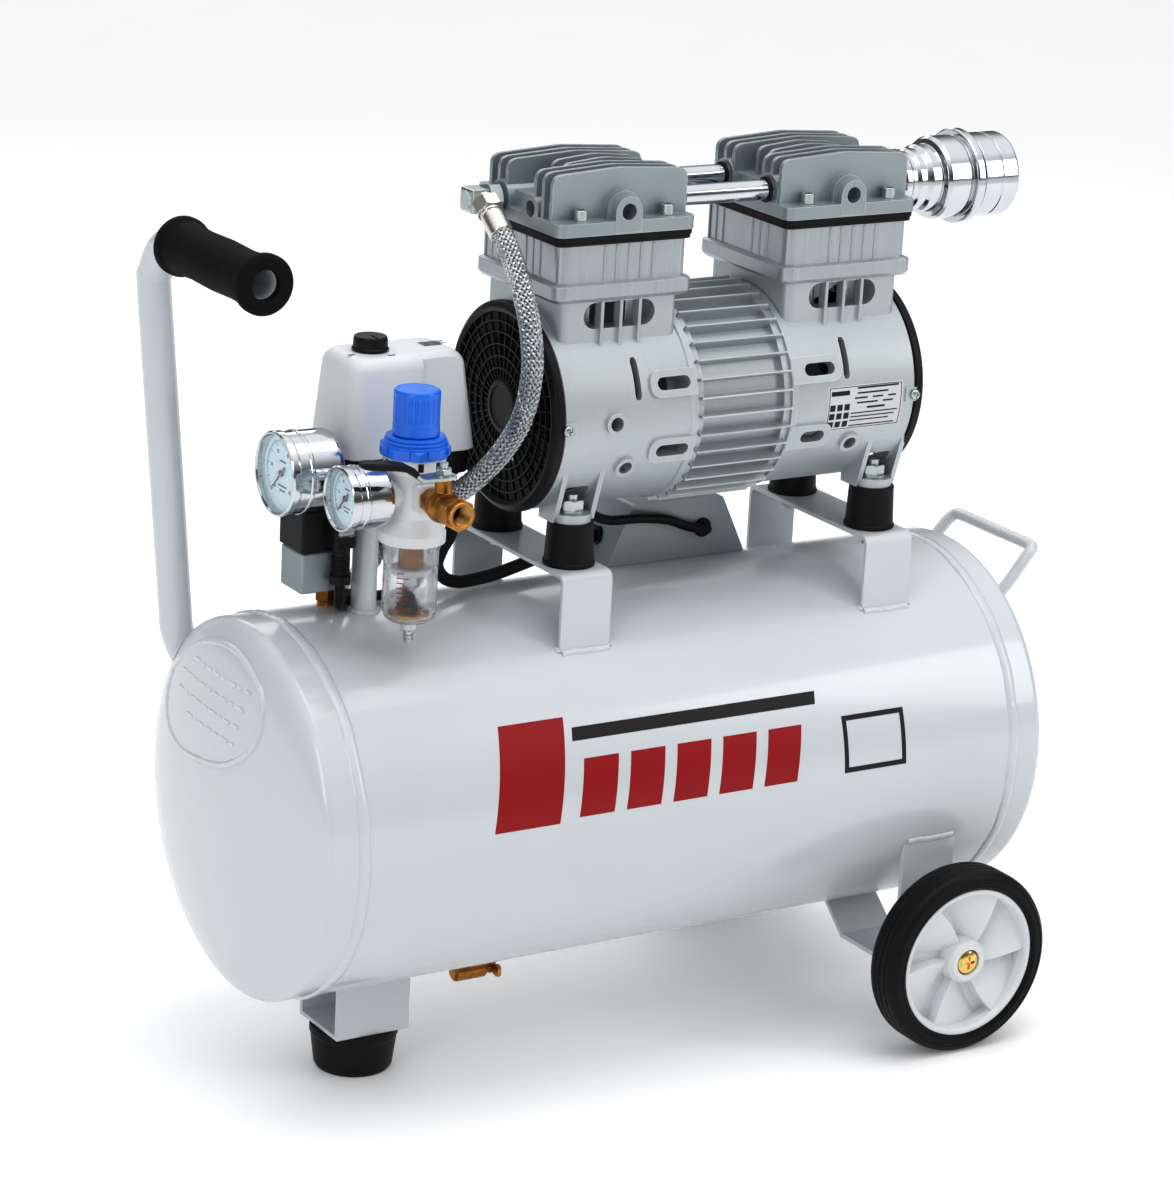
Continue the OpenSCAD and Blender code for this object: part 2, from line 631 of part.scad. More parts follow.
// Finned head drawn round x = 0
module cylinder_head() {
    pitch = 2 * fin_half / (head_fins - 1);
    translate([0, 0, head_z]) block(block_w, block_d, 8.2, 5);
    translate([0, 0, head_z + 8]) block(block_w - 22, block_d - 26, 14, 6);
    for (k = [0:head_fins - 1]) translate([0, -fin_half + k * pitch, head_z + 8])
        rotate([90, 0, 0]) translate([0, 0, -1.6]) linear_extrude(3.2)
        polygon([[-block_w / 2, 0], [-block_w / 2, 21], [-block_w / 2 + 7, 26], [-14, fin_top - head_z - 8],
            [14, fin_top - head_z - 8], [block_w / 2 - 7, 26], [block_w / 2, 21], [block_w / 2, 0]]);
    translate([0, 0, pipe_z]) along_y(9, 9, -block_d / 2 - 1.5);
    for (x = [-1, 1]) translate([x * (block_w / 2 - 9), 0, pipe_z]) cube([18, 70, 16], center = true);
}

module head_holes(x) for (i = [-1, 1], j = [-1, 1])
    translate([x + i * screw_at[0], j * screw_at[1], head_z - 1]) cylinder(r = 3.3, h = 20);

module cylinder_head_left() color("silver") difference() {
    translate([cyl_x[0], 0, 0]) cylinder_head();
    head_holes(cyl_x[0]);
    translate([cyl_x[0], 0, pipe_z]) along_y(4.5, 12, -block_d / 2 - 4);
    for (s = [-1, 1]) translate([0, s * pipe_y, pipe_z]) along_x(6.5 + fit, 20, 4);
    translate([-95, 24, 551]) along_x(6 + fit, 20, 0);
}

module cylinder_head_right() color("silver") difference() {
    translate([cyl_x[1], 0, 0]) cylinder_head();
    head_holes(cyl_x[1]);
    translate([cyl_x[1], 0, pipe_z]) along_y(4.5, 12, -block_d / 2 - 4);
    for (s = [-1, 1]) translate([0, s * pipe_y, pipe_z]) along_x(6.5 + fit, 20, 72);
    translate([165, 0, silencer_z + 2]) along_x(8 + fit, 30, 0);
}

module head_bolts() color("silver") for (x = cyl_x, i = [-1, 1], j = [-1, 1])
    translate([x + i * screw_at[0], j * screw_at[1], 0]) {
        translate([0, 0, head_z + eps]) cylinder(r = 3.2, h = 9);
        translate([0, 0, head_z + 8.4]) difference() {
            cylinder(r = 4.3, h = 6.5);
            translate([0, 0, 3]) cylinder(r = 2.6, h = 4, $fn = 6);
        }
    }

module transfer_pipes() color("silver") for (s = [-1, 1])
    translate([0, s * pipe_y, pipe_z]) along_x(6.5, 72, 12);

module intake_silencer() color("silver") translate([0, 0, silencer_z]) {
    translate([0, 0, 2]) along_x(8, 20, 168);
    along_x(20, 42, 181.2);
    along_x(27, 20.5, 223);
    along_x(31, 7, 243);
    along_x(27.5, 30, 250);
}

module hose_fittings() color("#a8aa9c") {
    elbow = [-99, 24, 551];
    way = hose_start - [-98.6, 16, 551.5];
    translate([0, elbow[1], elbow[2]]) along_x(6, 18.8, -94);
    translate([-94.5, elbow[1], elbow[2]]) rotate([0, 90, 0]) cylinder(r = 11.5, h = 9.5, $fn = 6);
    translate([-108, elbow[1], elbow[2]]) rotate([0, 90, 0]) cylinder(r = 8, h = 14);
    translate(elbow) along_y(7.4, 8.4, -8.4);
    bar(hose_start - way, hose_start - 0.02 * way, 7);
    bar(hose_start - 0.75 * way, hose_start - 0.4 * way, 8.8);
}

module discharge_hose() color("#77777a") flex_tube(hose_route, 6.8, 10);

// Sloping box over the run capacitor, cut to the tank's surface
module capacitor_cover() color("#b9bdc1") difference() {
    translate([0, 75, 0]) rotate([90, 0, 0]) linear_extrude(50)
        polygon([[10, 250], [10, 303], [28, 342], [97, 342], [116, 303], [116, 250]]);
    translate([0, 73, 0]) rotate([90, 0, 0]) linear_extrude(46)
        polygon([[12, 240], [12, 303], [29.5, 340], [95.5, 340], [114, 303], [114, 240]]);
    tank_envelope(gap);
    translate([82, 0, 321.8]) along_y(3.4, 10, 20);
    translate([0, 49, 317]) along_x(4.3, 20, 5);
}

module wiring() color("#1a1a1a") {
    flex_tube(conduit_route, 4.1, 8);
    flex_tube(lead_route, 3.2, 8);
    flex_tube(motor_route, 3.2, 8);
}

// ---------------------------------------------------------------- wheels

// White rim with a hub, a dished web and six fan-shaped spokes; outer face at y = 0
module wheel_rim() rotate([-90, 0, 0]) difference() {
    union() {
        difference() {
            cylinder(r = rim_r, h = tyre_w - 3);
            translate([0, 0, -1]) cylinder(r = rim_r - 3, h = tyre_w);
        }
        cylinder(r = 13, h = tyre_w - 3);
        translate([0, 0, 12]) linear_extrude(3) difference() {
            circle(r = rim_r - 1);
            for (a = [0:60:300]) rotate(a) translate([rim_r * 0.63, 0]) circle(r = 10.5);
        }
        for (a = [30:60:330]) rotate([0, 0, a]) translate([11, -1.5, 2]) cube([rim_r - 13, 3, 20]);
    }
    translate([0, 0, -1]) cylinder(r = axle_r + fit, h = tyre_w);
    translate([0, 0, -1]) cylinder(r = 8.6, h = 5.4);
}

module tyre() rotate([-90, 0, 0]) rotate_extrude($fn = 96)
    polygon([[rim_r, 0], [55, -1.5], [60, 0], [tyre_r, 4], [tyre_r, 6.5], [tyre_r - 1, 7.2],
        [tyre_r - 1, 8.2], [tyre_r, 9], [tyre_r, 12], [tyre_r - 1, 12.6], [tyre_r - 1, 13.4],
        [tyre_r, 14], [tyre_r, 17], [tyre_r - 1, 17.8], [tyre_r - 1, 18.8], [tyre_r, 19.5],
        [tyre_r, 22], [60, 25], [55, 26.5], [rim_r, 25]]);

module at_wheel(s) translate([axle_x, 0, tyre_r]) mirror([0, s > 0 ? 1 : 0, 0])
    translate([0, -track_half + 1.5, 0]) children();

module near_wheel() color("white") at_wheel(-1) wheel_rim();
module near_tyre() color("#141416") at_wheel(-1) tyre();
module far_wheel() color("white") at_wheel(1) wheel_rim();
module far_tyre() color("#141416") at_wheel(1) tyre();

// ---------------------------------------------------------------- moving inside

module rotor_shaft() color("gray") translate([0, 0, motor_z]) {
    along_x(shaft_r, 246, -74.7);
    along_x(rotor_r, stator_x[1] - stator_x[0] - 8, stator_x[0] + 4);
    translate([cyl_x[0] - 9, 0, throw]) along_x(ecc_r, 18);
    translate([cyl_x[1] - 9, 0, -throw]) along_x(ecc_r, 18);
}

module fan() rotate([90, 0, 90]) difference() {
    union() {
        cylinder(r = 17, h = 16);
        for (a = [0:45:315]) rotate([0, 0, a]) translate([14, 0, 8]) rotate([35, 0, 0])
            translate([0, -9, -1]) cube([39, 18, 2]);
    }
    translate([0, 0, -1]) cylinder(r = shaft_r, h = 20);
}

module cooling_fans() color("#2a2b30") translate([0, 0, motor_z]) {
    translate([-74, 0, 0]) fan();
    translate([154.5, 0, 0]) fan();
}

// Rod and piston in one piece, as on an oil-free pump
module rocking_piston(x, z) color("gainsboro") translate([x, 0, z]) difference() {
    union() {
        along_x(22.5, 14, -7);
        translate([-5, -7, 18]) cube([10, 14, rod_len - piston_h - 17]);
        translate([0, 0, rod_len - piston_h]) cylinder(r = piston_r, h = piston_h);
    }
    along_x(ecc_r + fit, 40, -20);
}

module rocking_piston_left() rocking_piston(cyl_x[0], motor_z + throw);
module rocking_piston_right() rocking_piston(cyl_x[1], motor_z - throw);

tank_barrel();
tank_heads();
name_plate();
foot_channel();
rubber_foot();
wheel_brackets();
axle_bolts();
handle_tube();
handle_grip();
lift_handle();
motor_saddles();
rubber_mounts();
mount_bolts();
drain_valve_body();
stand_pipe();
check_valve();
manifold_block();
switch_base();
switch_cover();
cable_glands();
tank_gauge_case();
line_gauge_case();
gauge_dials();
gauge_lenses();
regulator_body();
regulator_nut();
filter_bowl();
filter_element();
ball_valve_body();
stator_housing();
crankcase_left();
crankcase_right();
fan_guards();
cylinders();
valve_plates();
cylinder_head_left();
cylinder_head_right();
head_bolts();
transfer_pipes();
intake_silencer();
hose_fittings();
discharge_hose();
capacitor_cover();
wiring();
near_wheel();
near_tyre();
far_wheel();
far_tyre();
rotor_shaft();
cooling_fans();
rocking_piston_left();
rocking_piston_right();
switch_knob();
regulator_spindle();
regulator_knob();
ball_valve_lever();
drain_tap();
bowl_drain();
tank_gauge_needle();
line_gauge_needle();
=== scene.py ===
import json
import math
import bmesh
import bpy
from mathutils import Euler, Matrix, Vector, noise

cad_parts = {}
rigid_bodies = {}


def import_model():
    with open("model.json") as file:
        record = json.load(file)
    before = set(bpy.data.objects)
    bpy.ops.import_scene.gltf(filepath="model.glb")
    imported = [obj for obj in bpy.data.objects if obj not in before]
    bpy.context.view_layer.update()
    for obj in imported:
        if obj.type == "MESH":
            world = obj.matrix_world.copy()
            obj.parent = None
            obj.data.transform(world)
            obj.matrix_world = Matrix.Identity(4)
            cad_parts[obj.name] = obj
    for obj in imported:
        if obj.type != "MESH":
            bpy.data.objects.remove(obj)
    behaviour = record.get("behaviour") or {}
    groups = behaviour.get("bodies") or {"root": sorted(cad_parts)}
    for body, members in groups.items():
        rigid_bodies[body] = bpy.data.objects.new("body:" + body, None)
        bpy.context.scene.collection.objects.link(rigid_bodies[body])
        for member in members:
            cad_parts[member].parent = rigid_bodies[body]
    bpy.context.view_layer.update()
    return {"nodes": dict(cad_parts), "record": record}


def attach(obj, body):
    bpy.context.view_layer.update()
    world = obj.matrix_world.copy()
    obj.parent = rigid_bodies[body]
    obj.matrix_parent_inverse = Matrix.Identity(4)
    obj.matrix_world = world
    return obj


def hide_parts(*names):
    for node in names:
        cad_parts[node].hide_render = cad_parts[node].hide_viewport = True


# Portable oil-free air compressor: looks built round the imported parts.
# Shapes are drawn in millimetres in the part's own frame and become metres in toObject.
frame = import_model()
scene = bpy.context.scene
mm = 0.001
print("frame loaded:", len(frame["nodes"]), "nodes")

# camera, light and floor

viewpoint = {"azimuth": -32.38, "elevation": 17.24, "roll": 3.07, "distance": 2.5333,
             "target": (-0.0194, 0.0, 0.29105), "lens": 119.16}


def makeCamera(v):
    azimuth, elevation, roll = (math.radians(v[k]) for k in ("azimuth", "elevation", "roll"))
    back = Vector((math.sin(azimuth) * math.cos(elevation), -math.cos(azimuth) * math.cos(elevation),
                   math.sin(elevation)))
    right = Vector((0, 0, 1)).cross(back).normalized()
    up = back.cross(right)
    side = right * math.cos(roll) + up * math.sin(roll)
    top = up * math.cos(roll) - right * math.sin(roll)
    camera = bpy.data.objects.new("camera", bpy.data.cameras.new("camera"))
    scene.collection.objects.link(camera)
    camera.data.lens = v["lens"]
    camera.data.sensor_width = 36
    place = Matrix((side, top, back)).transposed().to_4x4()
    place.translation = Vector(v["target"]) + back * v["distance"]
    camera.matrix_world = place
    camera.data.clip_end = 60
    scene.camera = camera


makeCamera(viewpoint)

# name: (place, aimed at, width, height, watts, colour)
lamps = {
    "topSoft": ((0.1, -0.4, 2.4), (0, 0, 0.3), 1.6, 1.2, 13, (1.0, 1.0, 1.0)),
    "keyRight": ((1.8, -1.7, 1.3), (0.1, 0, 0.3), 0.7, 1.4, 12, (1.0, 0.99, 0.98)),
    "fillLeft": ((-2.2, -1.3, 1.2), (-0.1, 0, 0.3), 0.7, 1.3, 11, (0.97, 0.985, 1.0)),
    "rimBack": ((0.5, 2.2, 1.6), (0, 0, 0.35), 1.8, 0.7, 7, (1.0, 1.0, 1.0)),
}


def makeLamps():
    for name, (place, target, width, height, watts, colour) in lamps.items():
        light = bpy.data.lights.new(name, "AREA")
        light.shape = "RECTANGLE"
        light.size, light.size_y = width, height
        light.energy, light.color = watts, colour
        lamp = bpy.data.objects.new(name, light)
        scene.collection.objects.link(lamp)
        lamp.location = place
        aim = Vector(target) - Vector(place)
        lamp.rotation_euler = aim.to_track_quat("-Z", "Y").to_euler()


makeLamps()

# shader maths: an expression on links adds its own nodes


class Link:
    def __init__(self, paint, socket):
        self.paint, self.socket = paint, socket

    def maths(self, operation, first, second=0.0, clamp=False):
        return self.paint.node("ShaderNodeMath", {"operation": operation, "use_clamp": clamp},
                               {0: first, 1: second})

    def __add__(self, other):
        return self.maths("ADD", self, other)

    def __sub__(self, other):
        return self.maths("SUBTRACT", self, other)

    def __mul__(self, other):
        return self.maths("MULTIPLY", self, other)

    def __rsub__(self, other):
        return self.maths("SUBTRACT", other, self)

    def above(self, limit, soft=0.1):
        return self.maths("MULTIPLY", self - limit, 1 / soft, clamp=True)

    __radd__, __rmul__ = __add__, __mul__


class Graph:
    def __init__(self, tree):
        self.tree = tree

    def maths(self, first, operation, second):
        return self.node("ShaderNodeMath", {"operation": operation}, {0: first, 1: second})

    def node(self, kind, settings=None, values=None, out=0):
        made = self.tree.nodes.new(kind)
        for key, value in (settings or {}).items():
            if key == "stops":
                for spare in list(made.color_ramp.elements)[2:]:
                    made.color_ramp.elements.remove(spare)
                while len(made.color_ramp.elements) < len(value):
                    made.color_ramp.elements.new(0.5)
                for element, (where, colour) in zip(made.color_ramp.elements, value):
                    element.position, element.color = where, (*colour, 1)
            else:
                setattr(made, key, value)
        for key, value in (values or {}).items():
            if isinstance(value, Link):
                self.tree.links.new(value.socket, made.inputs[key])
            else:
                made.inputs[key].default_value = value
        return Link(self, made.outputs[out])


class Paint(Graph):
    def __init__(self, name):
        self.material = bpy.data.materials.new(name)
        self.material.use_nodes = True
        self.tree = self.material.node_tree
        self.shader = self.tree.nodes["Principled BSDF"]
        self.place = self.node("ShaderNodeTexCoord", out="Object")

    def stretched(self, x=1, y=1, z=1):
        return self.node("ShaderNodeMapping", {}, {"Vector": self.place, "Scale": (x, y, z)})

    def grain(self, scale, detail=3, rough=0.5, where=None):
        return self.node("ShaderNodeTexNoise", {"normalize": True},
                         {"Vector": where or self.place, "Scale": scale, "Detail": detail,
                          "Roughness": rough},
                         "Fac")

    def cells(self, scale, feature="F1", out="Distance", where=None):
        return self.node("ShaderNodeTexVoronoi", {"feature": feature},
                         {"Vector": where or self.place, "Scale": scale}, out)

    def mix(self, factor, first, second):
        node = self.tree.nodes.new("ShaderNodeMix")
        node.data_type = "RGBA"
        for index, value in ((0, factor), (6, first), (7, second)):
            if isinstance(value, Link):
                self.tree.links.new(value.socket, node.inputs[index])
            else:
                node.inputs[index].default_value = value if index == 0 else (*value, 1)
        return Link(self, node.outputs[2])

    def ramp(self, factor, *stops):
        return self.node("ShaderNodeValToRGB", {"stops": stops}, {"Fac": factor}, "Color")

    def bump(self, height, strength, distance):
        self.set(Normal=self.node("ShaderNodeBump", {}, {"Height": height, "Strength": strength,
                                                           "Distance": distance}, "Normal"))

    def edges(self, radius=0.0009):
        # how far the normal turns within a short radius: high along edges only; the materials lighten their
        # colour by it, partly edge wear and partly a painted highlight
        soft = self.node("ShaderNodeBevel", {"samples": 4}, {"Radius": radius})
        true = self.node("ShaderNodeNewGeometry", out="Normal")
        same = self.node("ShaderNodeVectorMath", {"operation": "DOT_PRODUCT"}, {0: soft, 1: true},
                         out="Value")
        return (1 - same).above(0.015, 0.12)

    def set(self, **values):
        names = {"Color": "Base Color", "Coat": "Coat Weight", "CoatRoughness": "Coat Roughness",
                 "Sheen": "Sheen Weight", "Transmission": "Transmission Weight",
                 "Subsurface": "Subsurface Weight", "Emission": "Emission Color",
                 "EmissionStrength": "Emission Strength", "Specular": "Specular IOR Level"}
        for key, value in values.items():
            socket = self.shader.inputs[names.get(key, key)]
            if isinstance(value, Link):
                self.tree.links.new(value.socket, socket)
            elif isinstance(value, tuple):
                socket.default_value = (*value, 1)
            else:
                socket.default_value = value
        return self


def glossyPaint(name, colour, shade, rough=0.2, coat=0.4):
    p = Paint(name)
    soft = p.grain(9, 4, 0.6)
    dust = p.grain(55, 6, 0.7)
    p.set(Color=p.mix(soft * 0.6 + dust * 0.25 - 0.1, colour, shade), Roughness=dust * 0.06 + rough,
          Coat=coat,
          CoatRoughness=0.08)
    p.bump(p.grain(260, 2, 0.4) * 0.5 + p.grain(60, 2, 0.5), 0.08, 0.0004)
    return p.material


def silverPaint(name, colour, shade, metallic=0.55, rough=0.36, grit=1500):
    p = Paint(name)
    flakes = p.grain(grit, 2, 0.8)
    cloud = p.grain(14, 4, 0.6)
    edgeWearAndHighlight = p.edges()
    base = p.mix(cloud * 0.8, colour, shade)
    sparkle = p.mix(flakes.above(0.52, 0.25) * 0.35, base, tuple(min(1, c * 1.35) for c in colour))
    # colour lighter along every edge: partly edge wear, partly a painted highlight
    p.set(Color=p.mix(edgeWearAndHighlight * 0.5, sparkle, (0.82, 0.83, 0.84)), Metallic=metallic,
          Roughness=cloud * 0.14 + flakes * 0.08 + rough - edgeWearAndHighlight * 0.1)
    p.bump(flakes * 0.5 + p.grain(260, 3, 0.6), 0.16, 0.0003)
    return p.material


def castMetal(name, colour, shade, rough=0.42):
    p = Paint(name)
    cloud = p.grain(22, 5, 0.65)
    sand = p.grain(900, 3, 0.75)
    edgeWearAndHighlight = p.edges()
    # colour lighter along every edge: partly worn and machined edges, partly a painted highlight where the
    # fins catch light
    p.set(Color=p.mix(edgeWearAndHighlight * 0.6, p.mix(cloud, colour, shade), (0.86, 0.88, 0.9)), Metallic=0.8,
          Roughness=sand * 0.2 + rough - edgeWearAndHighlight * 0.18)
    p.bump(sand + p.cells(700) * 0.4, 0.22, 0.0003)
    return p.material


def brushedMetal(name, colour, shade, stretch=(1, 1, 0.04), rough=0.3, scale=600):
    p = Paint(name)
    lines = p.grain(scale, 4, 0.6, p.stretched(*stretch))
    cloud = p.grain(18, 3, 0.5)
    p.set(Color=p.mix(lines * 0.6 + cloud * 0.3, colour, shade), Metallic=0.85, Roughness=lines * 0.2 + rough)
    p.bump(lines, 0.18, 0.0002)
    return p.material


def platedMetal(name, colour, shade, rough=0.08, spots=0.0):
    p = Paint(name)
    cloud = p.grain(35, 4, 0.6)
    smear = p.grain(160, 5, 0.7)
    p.set(Color=p.mix(cloud * 0.7 + smear * spots, colour, shade), Metallic=1.0,
          Roughness=smear * 0.09 + cloud * 0.05 + rough)
    p.bump(smear, 0.03, 0.0003)
    return p.material


def yellowZinc():
    p = Paint("yellowZincPlate")
    bands = p.grain(95, 3, 0.6)
    tint = p.ramp(bands, (0.30, (0.30, 0.52, 0.16)), (0.45, (0.78, 0.58, 0.2)), (0.58, (0.8, 0.42, 0.22)),
                  (0.70, (0.55, 0.22, 0.36)))
    p.set(Color=tint, Metallic=1.0, Roughness=p.grain(500, 2) * 0.12 + 0.16)
    p.bump(p.grain(700, 3), 0.05, 0.0002)
    return p.material


def brassMetal():
    p = Paint("castBrass")
    cloud = p.grain(60, 5, 0.7)
    sand = p.grain(1400, 3, 0.7)
    edgeWearAndHighlight = p.edges()
    base = p.ramp(cloud, (0.3, (0.20, 0.078, 0.014)), (0.5, (0.40, 0.17, 0.032)),
                  (0.72, (0.56, 0.275, 0.066)))
    # colour lighter along every edge: partly polished wear, partly a painted highlight
    p.set(Color=p.mix(edgeWearAndHighlight * 0.5, base, (0.95, 0.72, 0.34)), Metallic=0.95,
          Roughness=sand * 0.18 + cloud * 0.1 + 0.2)
    p.bump(sand, 0.14, 0.0002)
    return p.material


def rubber(name, colour, rough=0.5, scale=900):
    p = Paint(name)
    bloom = p.grain(30, 5, 0.7)
    fine = p.grain(scale, 3, 0.6)
    p.set(Color=p.mix(bloom.above(0.45, 0.4) * 0.6, colour, tuple(c * 1.6 + 0.004 for c in colour)),
          Roughness=bloom * 0.2 + fine * 0.08 + rough - 0.12, Specular=0.16)
    p.bump(fine, 0.15, 0.0003)
    return p.material


def foam():
    p = Paint("foamSleeve")
    pores = p.cells(1100)
    wide = p.grain(60, 4, 0.6)
    p.set(Color=p.mix(wide, (0.004, 0.004, 0.005), (0.012, 0.012, 0.013)), Roughness=wide * 0.12 + 0.66,
          Specular=0.12)
    p.bump(pores * 0.8 + p.grain(500, 3), 0.5, 0.0005)
    return p.material


def moulded(name, colour, shade, rough=0.34, scale=800, strength=0.08, coat=0.0, specular=0.5):
    p = Paint(name)
    cloud = p.grain(24, 4, 0.6)
    fine = p.grain(scale, 2, 0.5)
    p.set(Color=p.mix(cloud, colour, shade), Roughness=cloud * 0.12 + fine * 0.08 + rough, Coat=coat,
          Specular=specular)
    p.bump(fine, strength, 0.0003)
    return p.material


def clearPlastic(name, tint=(0.93, 0.97, 0.98), rough=0.04, alpha=1.0):
    p = Paint(name)
    haze = p.grain(70, 4, 0.6)
    p.set(Color=p.mix(haze * 0.5, tint, tuple(c * 0.94 for c in tint)), Roughness=haze * 0.06 + rough,
          Transmission=1.0, IOR=1.46, Alpha=alpha)
    return p.material


def sinteredBronze():
    p = Paint("sinteredBronze")
    beads = p.cells(1500)
    p.set(Color=p.ramp(beads, (0.1, (0.62, 0.36, 0.2)), (0.6, (0.28, 0.13, 0.06))), Metallic=0.6,
          Roughness=0.5)
    p.bump(1 - beads, 0.5, 0.0005)
    return p.material


def laminatedSteel():
    p = Paint("rotorSteel")
    layers = p.grain(1400, 2, 0.4, p.stretched(1, 0.02, 0.02))
    p.set(Color=p.mix(layers, (0.32, 0.33, 0.35), (0.16, 0.16, 0.17)), Metallic=0.9,
          Roughness=layers * 0.2 + 0.34)
    p.bump(layers, 0.2, 0.0003)
    return p.material


finishes = {
    "white_paint": glossyPaint("whitePaint", (0.62, 0.65, 0.67), (0.54, 0.575, 0.595)),
    "grey_paint": glossyPaint("greyPaint", (0.42, 0.46, 0.48), (0.34, 0.38, 0.40), 0.3, 0.15),
    "cast_aluminium": silverPaint("silverCasting", (0.52, 0.56, 0.57), (0.43, 0.47, 0.48), 0.66),
    "head_aluminium": castMetal("castAluminium", (0.40, 0.45, 0.465), (0.32, 0.365, 0.38)),
    "block_aluminium": brushedMetal("drawnAluminium", (0.50, 0.535, 0.545), (0.35, 0.385, 0.40)),
    "chrome_plate": platedMetal("chromePlate", (0.62, 0.64, 0.66), (0.52, 0.54, 0.56), 0.04),
    "zinc_steel": platedMetal("zincPlate", (0.60, 0.645, 0.63), (0.42, 0.47, 0.46), 0.24, 0.4),
    "yellow_zinc": yellowZinc(),
    "brass": brassMetal(),
    "black_rubber": rubber("blackRubber", (0.012, 0.012, 0.013), 0.45),
    "foam_rubber": foam(),
    "tyre_rubber": rubber("tyreRubber", (0.009, 0.009, 0.010), 0.42, 600),
    "black_plastic": moulded("blackPlastic", (0.007, 0.007, 0.008), (0.014, 0.014, 0.016), 0.3,
                             specular=0.22),
    "white_plastic": moulded("whitePlastic", (0.72, 0.74, 0.75), (0.66, 0.685, 0.70), 0.32, 500, 0.06),
    "blue_plastic": moulded("bluePlastic", (0.008, 0.185, 0.80), (0.006, 0.15, 0.70), 0.26, 700, 0.06, 0.2),
    "clear_plastic": clearPlastic("clearBowl", alpha=0.75),
    "dial_face": moulded("dialFace", (0.70, 0.88, 0.95), (0.66, 0.85, 0.93), 0.4, 300, 0.02),
    "needle_black": moulded("needleBlack", (0.01, 0.01, 0.01), (0.02, 0.02, 0.02), 0.3),
    "sintered_bronze": sinteredBronze(),
    "steel_braid": platedMetal("steelBraid", (0.52, 0.545, 0.55), (0.34, 0.36, 0.37), 0.26, 0.4),
    "cable_black": rubber("cableSheath", (0.010, 0.010, 0.011), 0.38, 700),
    "rotor_steel": laminatedSteel(),
}
glass = clearPlastic("gaugeGlass", (0.97, 0.98, 1.0), 0.02, 0.16)
printBlack = moulded("printBlack", (0.008, 0.008, 0.009), (0.016, 0.016, 0.018), 0.35, specular=0.3)
nickel = platedMetal("nickelPlate", (0.80, 0.78, 0.72), (0.62, 0.6, 0.55), 0.16, 0.3)
labelSilver = moulded("labelSilver", (0.66, 0.68, 0.685), (0.60, 0.62, 0.63), 0.36, 300, 0.03)
printRed = moulded("printRed", (0.33, 0.006, 0.010), (0.27, 0.005, 0.008), 0.3, specular=0.3)
print("materials:", len(finishes))


def makeFloor():
    p = Paint("paleFloor")
    p.set(Color=p.mix(p.grain(3, 3, 0.5), (0.94, 0.94, 0.94), (0.92, 0.92, 0.925)),
          Roughness=p.grain(8, 3) * 0.1 + 0.55, Emission=(1.0, 1.0, 1.0), EmissionStrength=0.10)
    mesh = bpy.data.meshes.new("floor")
    half = 14
    mesh.from_pydata([(-half, -half, 0), (half, -half, 0), (half, half, 0), (-half, half, 0)], [],
                     [(0, 1, 2, 3)])
    floor = bpy.data.objects.new("floor", mesh)
    scene.collection.objects.link(floor)
    mesh.materials.append(p.material)


def makeSky():
    sky = bpy.data.worlds.new("studio")
    scene.world = sky
    sky.use_nodes = True
    tree = sky.node_tree
    place = tree.nodes.new("ShaderNodeTexCoord")
    split = tree.nodes.new("ShaderNodeSeparateXYZ")
    ramp = tree.nodes.new("ShaderNodeValToRGB")
    tree.links.new(place.outputs["Generated"], split.inputs[0])
    tree.links.new(split.outputs["Z"], ramp.inputs["Fac"])
    tree.links.new(ramp.outputs["Color"], tree.nodes["Background"].inputs["Color"])
    stops = ((0.0, 0.26), (0.2, 0.13), (0.46, 0.55), (0.74, 1.8))
    while len(ramp.color_ramp.elements) < len(stops):
        ramp.color_ramp.elements.new(0.5)
    for element, (where, level) in zip(ramp.color_ramp.elements, stops):
        element.position, element.color = where, (level, level, level * 1.01, 1)
    tree.nodes["Background"].inputs["Strength"].default_value = 0.72


makeFloor()
makeSky()
scene.view_settings.view_transform = "Standard"
scene.view_settings.gamma = 0.82

# mesh helpers, in millimetres


def rounded(points, radius=1.0, steps=4, closed=False):
    out = []
    count = len(points)
    for i, point in enumerate(points):
        reach = point[2] if len(point) > 2 else radius
        here = Vector(point[:2])
        if reach <= 0 or (not closed and i in (0, count - 1)):
            out.append(tuple(here))
            continue
        back = Vector(points[i - 1][:2]) - here
        ahead = Vector(points[(i + 1) % count][:2]) - here
        half = max(back.angle(ahead) / 2, 0.01)
        away = min(reach / math.tan(half), back.length * 0.49, ahead.length * 0.49)
        first, last = here + back.normalized() * away, here + ahead.normalized() * away
        for k in range(steps + 1):
            t = k / steps
            out.append(tuple((1 - t) ** 2 * first + 2 * t * (1 - t) * here + t * t * last))
    return out


def roundRect(width, depth, radius, centre=(0, 0), steps=5):
    x, y = width / 2, depth / 2
    corners = [(-x, -y), (x, -y), (x, y), (-x, y)]
    return [(a + centre[0], b + centre[1]) for a, b in rounded(corners, radius, steps, True)]


def ring(radius, steps=48, centre=(0, 0), start=0.0):
    return [(centre[0] + radius * math.cos(start + k * math.tau / steps),
             centre[1] + radius * math.sin(start + k * math.tau / steps)) for k in range(steps)]


def stadium(length, radius, steps=10, angle=0.0, centre=(0, 0)):
    out = []
    for side in (0, 1):
        for k in range(steps + 1):
            a = math.pi * (k / steps - 0.5 + side)
            x = radius * math.cos(a) + (length / 2 - radius) * (1 if side == 0 else -1)
            y = radius * math.sin(a)
            out.append((centre[0] + x * math.cos(angle) - y * math.sin(angle),
                        centre[1] + x * math.sin(angle) + y * math.cos(angle)))
    return out


def at(x=0, y=0, z=0, turn=(0, 0, 0)):
    return Matrix.Translation((x, y, z)) @ Euler([math.radians(a) for a in turn]).to_matrix().to_4x4()


# the Z axis of a drawing laid along X or Y
alongX = Matrix(((0, 0, 1, 0), (1, 0, 0, 0), (0, 1, 0, 0), (0, 0, 0, 1)))
alongY = Matrix(((0, 1, 0, 0), (0, 0, 1, 0), (1, 0, 0, 0), (0, 0, 0, 1)))


